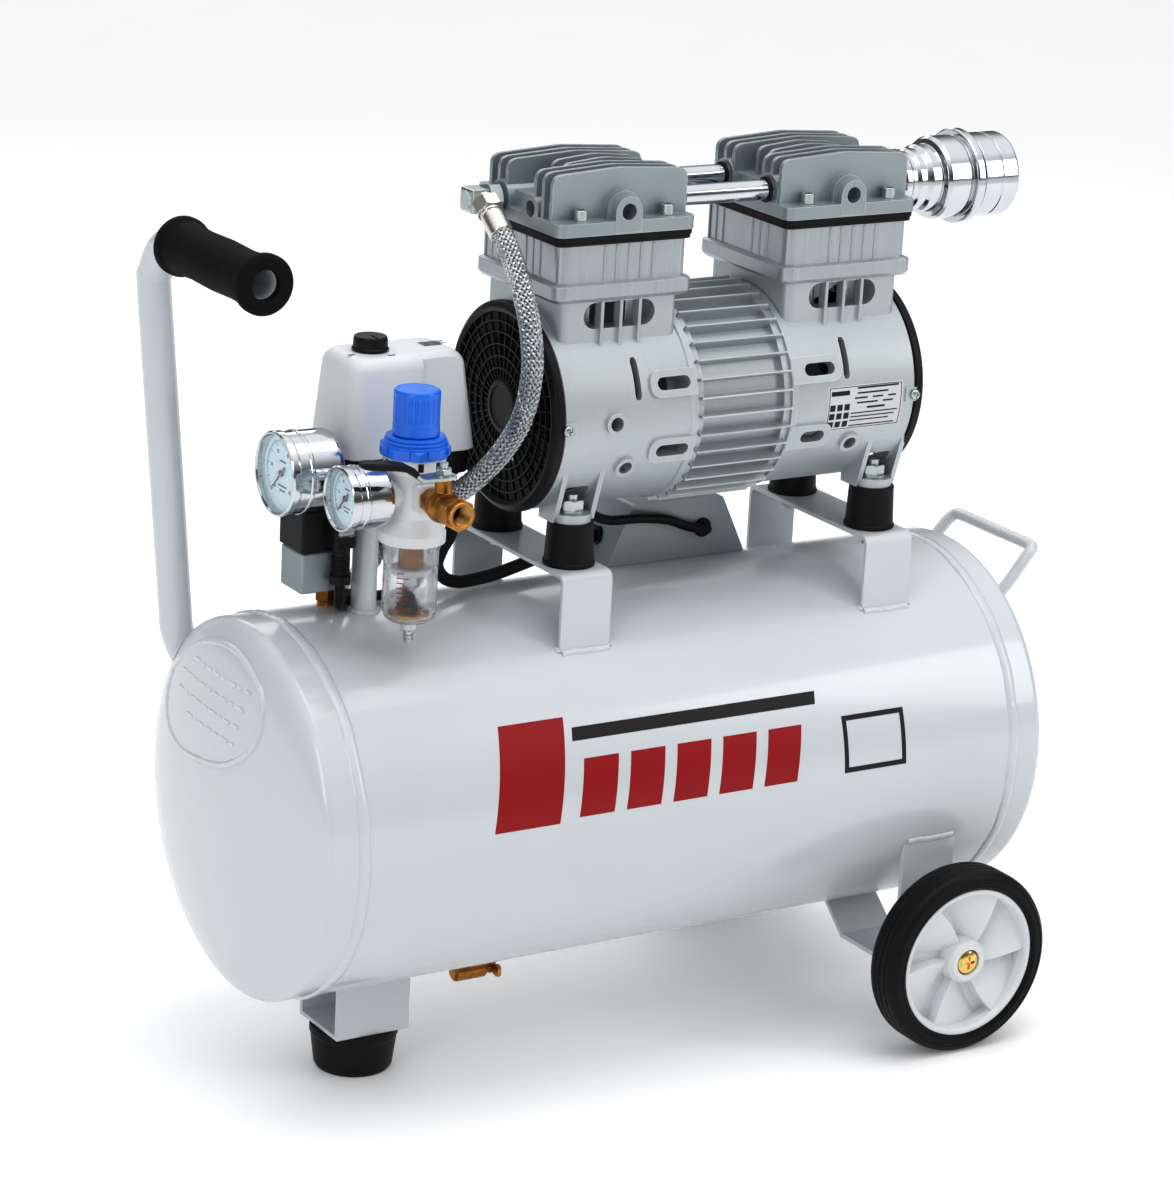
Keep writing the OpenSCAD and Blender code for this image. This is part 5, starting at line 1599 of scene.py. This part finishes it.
def makeRisers():
    x, y = -183.5, -2.5
    pipe = Shape().lathe(rounded([(0, 296), (8, 296), (8, 384), (6.8, 387), (0, 387)], 0.8, 3), 56, at(x, y))
    pipe = carve(pipe, tankBody(0.2, 96))
    pipe.lathe(rounded([(0, -41.2), (6.4, -41.2), (6.4, -24.4), (0, -24.4)], 0.4, 3), 40,
               at(-185, 0, 397) @ alongY)
    piece("standPipe", pipe, "white_paint", replaces="stand_pipe")
    loop, out = [], []
    for k in range(48):
        a = math.tau * k / 48
        px, py = x + 8.4 * math.cos(a), y + 8.4 * math.sin(a)
        loop.append(Vector(onBarrel(px, py)))
        out.append(Vector((math.cos(a) * 0.5, py / 240 + math.sin(a) * 0.5, 0.8)).normalized())
    piece("pipeWeld", weldBead(loop, out, 4.6, 2.2, True, 4, 9.1), "white_paint", smooth=60)
    x, y = -195, 22
    valve = Shape().lathe(rounded([(0, 298), (7, 298), (7, 305.6), (6.2, 306), (6.2, 316), (7, 316.4),
                                   (7, 320.6),
                                   (0, 320.6)], 0.3, 2), 48, at(x, y))
    valve = carve(valve, Shape().join(hexNut(8.7, 8), at(x, y, 306.5)), "UNION")
    valve = carve(valve, Shape().lathe(rounded([(0, -1), (5.9, -1), (5.9, 8.6), (0, 8.6)], 0.3, 2), 40,
                                       at(x, y, 314) @ alongX), "UNION")
    valve = carve(valve, tankBody(0.2, 96))
    piece("checkValve", valve, "brass", replaces="check_valve", bevel=0.3, segments=2, angle=35)
    nut = Shape().join(hexNut(8.4, 6), at(-186.4, 22, 314) @ alongX)
    nut.lathe(rounded([(6.9, -180.4), (7.6, -180.4), (7.6, -172.6), (6.9, -172.6)], 0.3, 2, True), 40,
              at(0, 22, 315.2) @ alongX, True)
    piece("hoseEnd", nut, "zinc_steel", bevel=0.3, segments=2, angle=35)
    print("risers finished")


gauges = {"tank": {"at": (-254.6, -15, 402), "radius": 26, "length": 37, "stem": 42.2, "needle": 17,
                   "marks": 40},
          "line": {"at": (-236, -62, 397), "radius": 20, "length": 30, "stem": 32.0, "needle": 13,
                   "marks": 30}}


def makeGauges():
    dials, lenses, prints = Shape(), Shape(), Shape()
    for name, g in gauges.items():
        r, length = g["radius"], g["length"]
        place = at(*g["at"]) @ faceLeft
        lip = r - 2.2
        profile = rounded([(0, -g["stem"]), (4.9, -g["stem"]), (4.9, -length - 0.4),
                           (7.5, -length - 0.4, 0.4),
                           (r - 4, -length, 2), (r - 1.4, -length + 1.6, 2), (r - 0.9, -length + 4, 1),
                           (r - 0.9, -length * 0.42, 0.4), (r - 0.35, -length * 0.42 + 0.6, 0.4),
                           (r - 0.35, -length * 0.42 + 2.2, 0.4), (r - 0.9, -length * 0.42 + 2.8, 0.4),
                           (r - 0.9, -6.4, 0.4), (r - 0.1, -5.8, 0.5), (r, -4.6, 0.6), (r, -1.2, 0.9),
                           (r - 0.8, -0.1, 0.6), (r - 1.7, -0.1, 0.4), (lip, -1.2, 0.3), (lip, -length + 3),
                           (0, -length + 3)], 0.3, 4)
        piece(name + "Gauge", Shape().lathe(profile, 128, place), "chrome_plate",
              replaces=name + "_gauge_case",
              smooth=35)
        dials.lathe([(0, -8), (lip - 0.1, -8), (lip - 0.1, -6), (0, -6)], 96, place)
        lenses.lathe([(0, -2.4), (lip - 0.1, -2.4), (lip - 0.1, -1.2), (lip * 0.7, -0.9), (lip * 0.35, -0.72),
                      (0, -0.68)], 96, place)
        span = 270 / g["marks"]
        minor = Shape().box(lip * 0.07, 0.22, 0.12, at(lip * 0.80, 0, -5.96))
        prints.join(repeated(minor, g["marks"] + 1, (0, 0, -span), place=place @ Matrix.Rotation(
            math.radians(225), 4, "Z")))
        major = Shape().box(lip * 0.13, 0.45, 0.13, at(lip * 0.77, 0, -5.95))
        prints.join(repeated(major, 11, (0, 0, -27),
                             place=place @ Matrix.Rotation(math.radians(225), 4, "Z")))
        arc = [(lip * 0.845, -135 + 270 * k / 60) for k in range(61)]
        band = [(q * math.cos(math.radians(90 - a)), q * math.sin(math.radians(90 - a))) for q, a in arc]
        band += [(q * 0.985 * math.cos(math.radians(90 - a)), q * 0.985 * math.sin(math.radians(90 - a)))
                 for q, a in arc[::-1]]
        prints.prism(band, -6.0, -5.9, place)
        figure = Shape().prism(roundRect(lip * 0.10, lip * 0.09, 0.3, (lip * 0.58, 0)), -6.0, -5.9)
        figure = carve(figure, Shape().prism(roundRect(lip * 0.05, lip * 0.04, 0.2, (lip * 0.58, 0)), -7, -5))
        prints.join(repeated(figure, 6, (0, 0, -54),
                             place=place @ Matrix.Rotation(math.radians(225), 4, "Z")))
        for row, wide in ((0.30, 0.34), (-0.34, 0.46), (-0.46, 0.3)):
            prints.prism(roundRect(lip * wide, lip * 0.05, 0.2, (0, lip * row)), -6.0, -5.9, place)
        reach = g["needle"]
        arrow = [(-reach * 0.34, -1.1), (-reach * 0.2, -0.6), (reach * 0.95, -0.28), (reach, 0),
                 (reach * 0.95, 0.28),
                 (-reach * 0.2, 0.6), (-reach * 0.34, 1.1)]
        needle = Shape().prism(arrow, -5.2, -4.5).lathe([(0, -5.6), (2, -5.6), (2, -4.4), (1.4, -3.9),
                                                         (0, -3.8)], 28)
        turned = Shape().join(needle, place @ Matrix.Rotation(math.radians(225), 4, "Z"))
        piece(name + "Needle", turned, "needle_black", name + "_needle", name + "_gauge_needle", bevel=0.1,
              segments=1)
    piece("gaugeDials", dials, "dial_face", replaces="gauge_dials", bevel=0.2, segments=1)
    piece("dialPrint", prints, printBlack)
    piece("gaugeLenses", lenses, glass, replaces="gauge_lenses")
    print("gauges finished")


regPlace = at(-185, -62)


def makeRegulator():
    body = Shape().lathe(rounded([(0, 366.6), (20.4, 366.6, 0.6), (20.4, 373, 1), (17.2, 378.6, 3),
                                  (15.6, 383, 3),
                                  (15.5, 404, 1.5), (18.9, 410.5, 1.5), (18.9, 419.9, 0.6), (0, 419.9)], 0.6,
                                  5),
                         80, regPlace)
    for part in (Shape().prism(roundRect(17, 17, 2.5, (0, 397)), 6, 20.4, at(-185, -62) @ faceFront),
                 Shape().prism(roundRect(17, 17, 2.5, (0, 397)), 6, 20.3,
                               at(-185, -62) @ mirrorY @ faceFront),
                 Shape().lathe(rounded([(0, 4), (9.6, 4), (9.6, 17.4), (8.6, 18.3), (0, 18.3)], 0.6, 4), 48,
                               at(-185, -62, 397) @ mirrorX @ alongX)):
        body = carve(body, part, "UNION")
    hollow = Shape().prism(ring(14, 56), 404.2, 426, regPlace)
    hollow.prism(ring(8, 40), 360, 384, regPlace)
    hollow.prism(ring(5.2, 28), 10, 21, at(-185, -62, 397) @ mirrorX @ alongX)
    body = carve(body, hollow)
    for dx in (-1, 1):
        rim = Shape().prism(roundRect(3.4, 8.4, 0.8, (dx * 5.2, 397)), 19.6, 22, at(-185, -62) @ faceFront)
        body = carve(body, rim)
    piece("regulatorBody", body, "white_plastic", replaces="regulator_body", bevel=0.6, segments=3, angle=32)
    notch = Shape().box(1.0, 3.4, 5.2, at(18.6, 0, 416.0))
    piece("collarNotches", repeated(notch, 10, (0, 0, 36), place=regPlace), "black_plastic", bevel=0.2,
          segments=1)
    nut = Shape().prism(ring(21.6, 8, start=math.pi / 8), 416.02, 422)
    nut = carve(nut, Shape().lathe([(0, 415), (20.6, 415), (21.5, 417.4), (21.5, 420.6), (20.4, 422),
                                    (0, 422)], 64),
                "INTERSECT")
    nut.lathe(rounded([(5.3, 419), (19.4, 419), (19.4, 423.2), (18.2, 423.8), (18.2, 424.2), (18.9, 424.6),
                       (18.9, 425.6), (17.4, 426), (17.4, 426.4), (18, 426.8), (18, 427.6), (16.2, 428.1),
                       (5.3, 428.1)], 0.25, 2, True), 72, None, True)
    lugs = Shape().box(3.2, 5, 4.4, at(19.6, 0, 420.2))
    nut.join(repeated(lugs, 8, (0, 0, 45)))
    piece("regulatorNut", Shape().join(nut, regPlace @ at(0, 0, 4)), "blue_plastic",
          replaces="regulator_nut", bevel=0.3,
          segments=2, angle=35)
    spindle = Shape().lathe([(0, 405.5), (12, 405.5), (12, 408.4), (3.5, 408.4), (3.5, 447.5), (0, 448)], 40,
                            regPlace)
    piece("regulatorSpindle", spindle, "zinc_steel", "spindle", "regulator_spindle", bevel=0.2, segments=2)
    knob = Shape().lathe([(0, 432.7), (14.1, 432.7), (14.2, 433.3), (14.2, 438.6), (13.9, 439.3),
                          (14.0, 440.0),
                          (14.1, 457.4), (13.8, 459.0), (13.1, 459.9), (12.4, 460.1), (11.9, 459.8),
                          (0, 459.8)], 120)
    flute = Shape().lathe([(0, 440.6), (0.7, 440.9), (1.1, 441.6), (1.25, 454.6), (0.8, 456.2), (0, 457)], 14,
                          at(14.4, 0))
    knob = carve(knob, repeated(flute, 24, (0, 0, 15)))
    knob = carve(knob, Shape().prism(ring(3.56, 32), 432, 453))
    piece("regulatorKnob", Shape().join(knob, regPlace), "blue_plastic", "regulator_knob", "regulator_knob",
          bevel=0.25, segments=2, angle=28, smooth=38)


def makeBowl():
    wall = rounded([(17.2, 366.2), (17.2, 362), (16.7, 361.4, 0.4), (16.7, 326, 2), (15.6, 319.6, 3),
                    (12, 316.6, 3),
                    (3.7, 316.6), (3.7, 318.4), (11.5, 318.6, 3), (13.6, 320.8, 3), (14.7, 326, 2),
                    (14.9, 366.2)],
                   0.4, 5, True)
    piece("filterBowl", Shape().lathe(wall, 96, regPlace, True), "clear_plastic", replaces="filter_bowl",
          smooth=50)
    element = Shape().lathe(rounded([(0, 350.2), (7.6, 350.2), (7.6, 366), (0, 366)], 0.6, 3), 56, regPlace)
    piece("filterElement", element, "sintered_bronze", replaces="filter_element")
    baffle = Shape().lathe(rounded([(0, 346.6), (2, 346.6), (2, 340.2), (3.2, 339.6), (3.2, 338.6),
                                    (4, 338.6),
                                    (4, 346.2), (11.6, 346.2), (12.6, 347.4), (12.2, 350), (0, 350)], 0.3,
                                    3), 56,
                           regPlace)
    piece("filterBaffle", baffle, "white_plastic")
    vane = Shape().prism([(-9, 322.5), (6, 322.5), (3, 333), (-3, 338.4), (-4.5, 338.4), (-5, 331)], -0.7,
                         0.7,
                         at(-185, -62) @ Matrix.Rotation(math.radians(-32), 4, "Z") @ faceFront)
    piece("floatVane", vane, "black_plastic", bevel=0.2, segments=1)
    seat = Shape().lathe(rounded([(3.7, 318.8), (10.4, 318.8), (12.4, 320.8), (12.4, 322.3), (3.7, 322.3)],
                                 0.5, 3,
                                 True), 56, regPlace, True)
    piece("bowlSeat", seat, "brass")
    ticks = Shape()
    for k in range(8):
        spread = 26 if k % 2 == 0 else 16
        outline = [(r * math.cos(math.radians(a)), r * math.sin(math.radians(a)))
                   for r, sweep in ((16.86, range(0, spread + 1, 2)), (16.6, range(spread, -1, -2))) for a in
                   [212 + s for s in sweep]]
        ticks.prism(outline, 328 + k * 3.1, 328.55 + k * 3.1, regPlace)
    piece("bowlTicks", ticks, printRed)
    drain = Shape().lathe(rounded([(0, 301.7), (1.3, 301.7), (2.2, 302, 0.3), (3.1, 304.4), (2.3, 304.6),
                                   (3.2, 307),
                                   (2.4, 307.2), (3.0, 309.4), (2.6, 310.4), (4.9, 310.6, 0.4),
                                   (4.9, 316.1, 0.4),
                                   (3.45, 316.3), (3.45, 321), (0, 321)], 0.2, 3), 40, regPlace)
    grip = Shape().lathe([(0, 310.4), (0.45, 311), (0.45, 316), (0, 316.4)], 8, at(4.95, 0))
    drain = carve(drain, repeated(grip, 20, (0, 0, 18), place=regPlace))
    piece("bowlDrain", drain, "zinc_steel", "bowl_drain", "bowl_drain", bevel=0.15, segments=1)
    print("regulator finished")


def makeBallValve():
    v = {"x": -185, "y": -97, "z": 397, "ball": 10.3, "tube": 8.55, "bore": 6.0, "hex": 10.7}
    axis = at(v["x"], 0, v["z"]) @ alongY
    mouth = v["y"] - 23.9
    profile = [(0, mouth + 13.8), (v["bore"] - 0.1, mouth + 13.8), (v["bore"], mouth + 0.6),
               (v["bore"] + 0.6, mouth), (v["tube"] - 0.6, mouth), (v["tube"], mouth + 0.6)]
    for k in range(13):
        a = math.radians(-34 + 66 * k / 12)
        profile.append((v["ball"] * math.cos(a), v["y"] + v["ball"] * math.sin(a)))
    profile += [(8.7, v["y"] + 5.8), (8.7, v["y"] + 8.4), (7.9, v["y"] + 9.0), (7.4, v["y"] + 9.4),
                (7.4, -83), (0, -83)]
    body = Shape().lathe(profile, 72, axis)
    neck = Shape().lathe(rounded([(0, 6), (5.1, 6), (5.1, 16.8), (0, 16.8)], 0.4, 3), 40,
                         at(v["x"], v["y"], v["z"]))
    body = carve(body, neck, "UNION")
    body = carve(body, Shape().prism(ring(2.56, 24), 399, 430, at(v["x"], v["y"])))
    body.join(hexNut(v["hex"], 7.8, v["tube"] - 0.3), at(v["x"], v["y"] - 19.9, v["z"]) @ alongY)
    for k in range(8):
        y = mouth + 1 + k * 1.5
        body.lathe([(v["bore"] + 0.1, y), (5.35, y + 0.5), (5.35, y + 0.75), (v["bore"] + 0.1, y + 1.25)],
                   40, axis, True)
    piece("ballValve", body, "brass", replaces="ball_valve_body", bevel=0.4, segments=3, angle=30)
    plate = Shape().prism(rounded([(-17, -5.4, 1), (0, -7.4, 6), (7.4, -5, 6), (7.4, 5, 6), (0, 7.4, 6),
                                   (-17, 5.4, 1)], 3, 4, True), 414.2, 416.1)
    plate.join(strap([(-15, 415.2), (-17.5, 415.9), (-20, 418.4), (-23, 421)], 10.4, 1.9))
    plate.prism(ring(2.5, 24), 399.6, 423.6)
    plate.join(hexNut(5.1, 4.0), at(0, 0, 416.3))
    plate.lathe([(0, 416.1), (6, 416.1), (6, 416.6), (0, 416.6)], 32)
    piece("leverPlate", Shape().join(plate, at(v["x"], v["y"])), "zinc_steel", "valve_lever", bevel=0.3,
          segments=2,
          angle=35)
    sleeve = strap([(-19.5, 418.2), (-23, 421.3), (-27, 423.4), (-34, 424.9), (-44, 426.1), (-51, 426.9),
                    (-54.5, 427.3), (-56, 427.5)], [10.2, 11.6, 11.8, 11.6, 11.6, 11.8, 9.6, 4.5],
                   [3.4, 4.2, 4.4, 4.4, 4.4, 4.4, 3.8, 1.8])
    piece("leverSleeve", Shape().join(sleeve, at(v["x"], v["y"])), "black_rubber", "valve_lever",
          "ball_valve_lever",
          bevel=0.2, segments=1, smooth=60)


def strap(path, width, thick):
    # rounded bar bent in the X-Z plane, its width along Y
    count = len(path)
    widths = width if isinstance(width, list) else [width] * count
    thicks = thick if isinstance(thick, list) else [thick] * count
    outlines = []
    for i, (x, z) in enumerate(path):
        a = Vector(path[max(i - 1, 0)])
        b = Vector(path[min(i + 1, count - 1)])
        way = (b - a).normalized()
        section = roundRect(widths[i], thicks[i], thicks[i] * 0.42, (0, 0), 4)
        outlines.append([Vector((x - way.y * v, u, z + way.x * v)) for u, v in section])
    n = len(outlines[0])
    points = [p for outline in outlines for p in outline]
    faces = [list(range(n))[::-1], list(range((count - 1) * n, count * n))]
    for row in range(count - 1):
        faces += [[row * n + k, row * n + (k + 1) % n, (row + 1) * n + (k + 1) % n, (row + 1) * n + k]
                  for k in range(n)]
    return Shape(points, faces)


makeSwitchCover()
makeSwitchBase()
makeGlands()
makeRisers()
makeGauges()
makeRegulator()
makeBowl()
makeBallValve()

# hose, wiring and motor fittings

hoseStart = (-100.2, -6.3, 538)
hoseRoute = [hoseStart, (-101, -14, 533.4), (-102.3, -24, 526.5), (-104, -42, 509), (-106, -57, 488),
             (-108, -64.5, 465), (-110, -61, 438), (-114, -50, 416), (-121, -36, 396), (-131, -24, 381),
             (-143, -11, 369), (-154, 4, 356), (-163, 15, 341), (-168, 20, 328), (-174, 22, 318.5),
             (-180, 22, 314.6), (-186, 22, 314)]
conduitRoute = [(-126, 2, 379.8), (-125, 3, 368), (-120, 4.5, 356), (-119, 5, 345), (-125, 5, 335),
                (-128, 5, 325), (-122, 5.5, 316), (-111, 6.5, 312), (-97, 9, 311.5), (-82, 12, 312),
                (-64, 18, 313), (-42, 27, 314), (-20, 37, 315), (-2, 45, 316), (15.5, 49, 317)]
leadRoute = [(-206, -13, 327.8), (-206, -13, 320), (-204, -9, 313), (-198, 0, 309.6), (-190, 8, 308.8),
             (-180, 9.4, 308.7), (-166, 9, 309), (-150, 8, 310.5), (-138, 6.5, 315), (-129.5, 5.2, 323)]
motorRoute = [(-16, 8, 360.1), (-13, 11, 346), (4, 17, 337), (30, 20, 334.5), (52, 21, 331), (68, 20.5, 325),
              (82, 19, 321.8), (82, 25.5, 321.8)]
braid = {"Strands": 12, "Turns": 6.4, "Radius": 0.0056, "Lift": 0.0005, "Wire": 0.00096, "Points": 440,
         "Sides": 5}


def makeHose():
    path = smoothPath(hoseRoute, 8)
    woven = Shape()
    for hand in (1.0, -1.0):
        woven.join(braided(path, finishes["steel_braid"], Hand=hand, **braid))
    piece("hoseBraid", woven, "steel_braid", replaces="discharge_hose", flip=False, smooth=70)
    piece("hoseCore", Shape().tube(path, 5.2, 24), "black_rubber", smooth=60)
    elbow = Vector((-99, 24, 551))
    way = Vector(hoseStart) - Vector((-98.6, 16, 551.5))
    length = way.length
    joint = pointed(Vector((-98.6, 16, 551.5)), way)
    body = Shape().lathe(rounded([(0, -94), (5.95, -94), (5.95, -75.4), (0, -75.4)], 0.3, 2), 40,
                         at(0, 24, 551) @ alongX)
    hexPart = hexNut(11.4, 8.4)
    body = carve(body, Shape().join(hexPart, at(-94.5, 24, 551) @ alongX), "UNION")
    block = blockShape((-8.4, -8.2, -7.6), (5, 8.2, 7.6), 2.6, 1.6, Matrix.Translation(elbow))
    body = carve(body, block, "UNION")
    body = carve(body, Shape().lathe([(0, -108.2), (5.5, -108.2), (6.4, -107), (6.4, -100), (0, -100)], 40,
                                     at(0, 24, 551) @ alongX), "UNION")
    piece("elbow", body, "zinc_steel", replaces="hose_fittings", bevel=0.5, segments=3, angle=30)
    nuts = Shape().join(hexNut(9.2, 9.4), joint @ at(0, 0, 1.0))
    nuts.lathe([(0, -2.5), (5.6, -2.5), (5.6, 1.2), (0, 1.2)], 36, joint)
    nuts.lathe(rounded([(5.0, 10.2), (7.2, 10.2), (7.2, 12.2, 0.6), (6.5, 13), (6.5, 14), (7.6, 14.6, 0.5),
                        (7.6, length + 3.5, 0.6), (7.2, length + 4.4), (5.0, length + 4.4)], 0.4, 3, True),
                        48,
               joint, True)
    for k in range(3):
        nuts.lathe([(7.5, 16.6 + k * 3.2), (7.75, 17.2 + k * 3.2), (7.75, 18 + k * 3.2),
                    (7.5, 18.6 + k * 3.2)], 48,
                   joint, True)
    piece("hoseFerrule", nuts, nickel, bevel=0.3, segments=2, angle=35)
    print("hose finished")


def makeWiring():
    shape = Shape()
    for route, radius in ((conduitRoute, 4.1), (leadRoute, 3.2), (motorRoute, 3.2)):
        shape.tube(smoothPath(route, 8), radius, 24)
    piece("wiring", shape, "cable_black", replaces="wiring", smooth=60)
    rings = Shape()
    grommet = rounded([(3.3, -2.2), (6.4, -2.2, 1), (6.4, -0.2, 0.4), (5.0, 0.2, 0.3), (5.0, 2.0, 0.3),
                       (3.3, 2.0)],
                      0.4, 4, True)
    rings.lathe(grommet, 40, at(82, 24.8, 321.8) @ alongY, True)
    wide = [(r + 0.9, h) for r, h in grommet]
    rings.lathe(wide, 40, at(16.0, 49, 317) @ alongX, True)
    piece("grommets", rings, "black_rubber")


def makeCapacitorCover():
    c = {"near": 25, "far": 75, "wall": 1.6, "low": 250}
    sheetOutline = [(10, c["low"], 0), (10, 303, 3), (28, 342, 4), (97, 342, 5), (116, 303, 4),
                    (116, c["low"], 0)]
    body = Shape().prism(rounded(sheetOutline, 4, 5), -c["far"], -c["near"], faceFront)
    inner = [(12, 240, 0), (12, 303, 2), (29.5, 340, 3), (95.5, 340, 4), (114, 303, 3), (114, 240, 0)]
    body = carve(body, Shape().prism(rounded(inner, 3, 5), -c["far"] + c["wall"], -c["near"] - c["wall"],
                                     faceFront))
    holes = tankBody(0.2, 96)
    holes.prism(ring(5.1, 28), 18, 32, at(82, 0, 321.8) @ alongY)
    holes.prism(ring(5.9, 28), 6, 24, at(0, 49, 317) @ alongX)
    body = carve(body, holes)
    piece("capacitorCover", body, "grey_paint", replaces="capacitor_cover", bevel=0.7, segments=3, angle=30,
          firm=True)


def makeRatingLabel():
    low, high = 64.6, 65.16
    label = Shape().add(*wrapSheet([(111.5, -17.5), (169.5, -17.5), (169.5, 8.5), (111.5, 8.5)], low, high,
                                   4, 24))
    piece("ratingLabel", label, labelSilver)
    marks = Shape()
    rows = ((6.2, 7.2, ((134, 166),)), (3.2, 5.8, ((114, 128),)), (3.4, 4.3, ((134, 158),)),
            (0.6, 1.5, ((132, 142), (146, 154), (158, 164))), (-2.2, -1.3, ((134, 150), (154, 162))),
            (-5.4, -4.2, ((142, 156),)), (-8.0, -7.3, ((130, 166),)), (-10.2, -9.5, ((130, 164),)),
            (-12.4, -11.7, ((130, 160),)), (-15.6, -14.9, ((130, 165),)))
    for foot, head, spans in rows:
        for left, right in spans:
            marks.add(*wrapSheet([(left, foot), (right, foot), (right, head), (left, head)], low,
                                 high + 0.06, 2, 2))
    for left, right, foot, head in ((112.5, 168.5, -16.9, -16.5), (112.5, 168.5, 7.5, 7.9),
                                    (112.5, 113, -16.5, 7.5),
                                    (168, 168.5, -16.5, 7.5)):
        marks.add(*wrapSheet([(left, foot), (right, foot), (right, head), (left, head)], low, high + 0.06, 2,
                             12))
    for left in (113.5, 119, 124.5):
        for foot in (-15.5, -10.5, -5.5):
            marks.add(*wrapSheet([(left, foot), (left + 4, foot), (left + 4, foot + 3.6),
                                  (left, foot + 3.6)], low,
                                 high + 0.06, 1, 3))
    piece("labelPrint", marks, printBlack)
    print("fittings finished")


makeHose()
makeWiring()
makeCapacitorCover()
makeRatingLabel()

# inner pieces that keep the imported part's own shape, with their edges broken

# node: (finish, edge width)
keptShapes = {
    "rotor_shaft": ("rotor_steel", 0.5), "cooling_fans": ("black_plastic", 0.3),
    "rocking_piston_left": ("head_aluminium", 0.5), "rocking_piston_right": ("head_aluminium", 0.5),
}
for node, (finish, width) in keptShapes.items():
    name = "".join(w.capitalize() for w in node.split("_"))
    piece(name[0].lower() + name[1:], cadShape(node), finish, bodyOf[node], node, bevel=width, flip=False)
print("kept shapes finished")
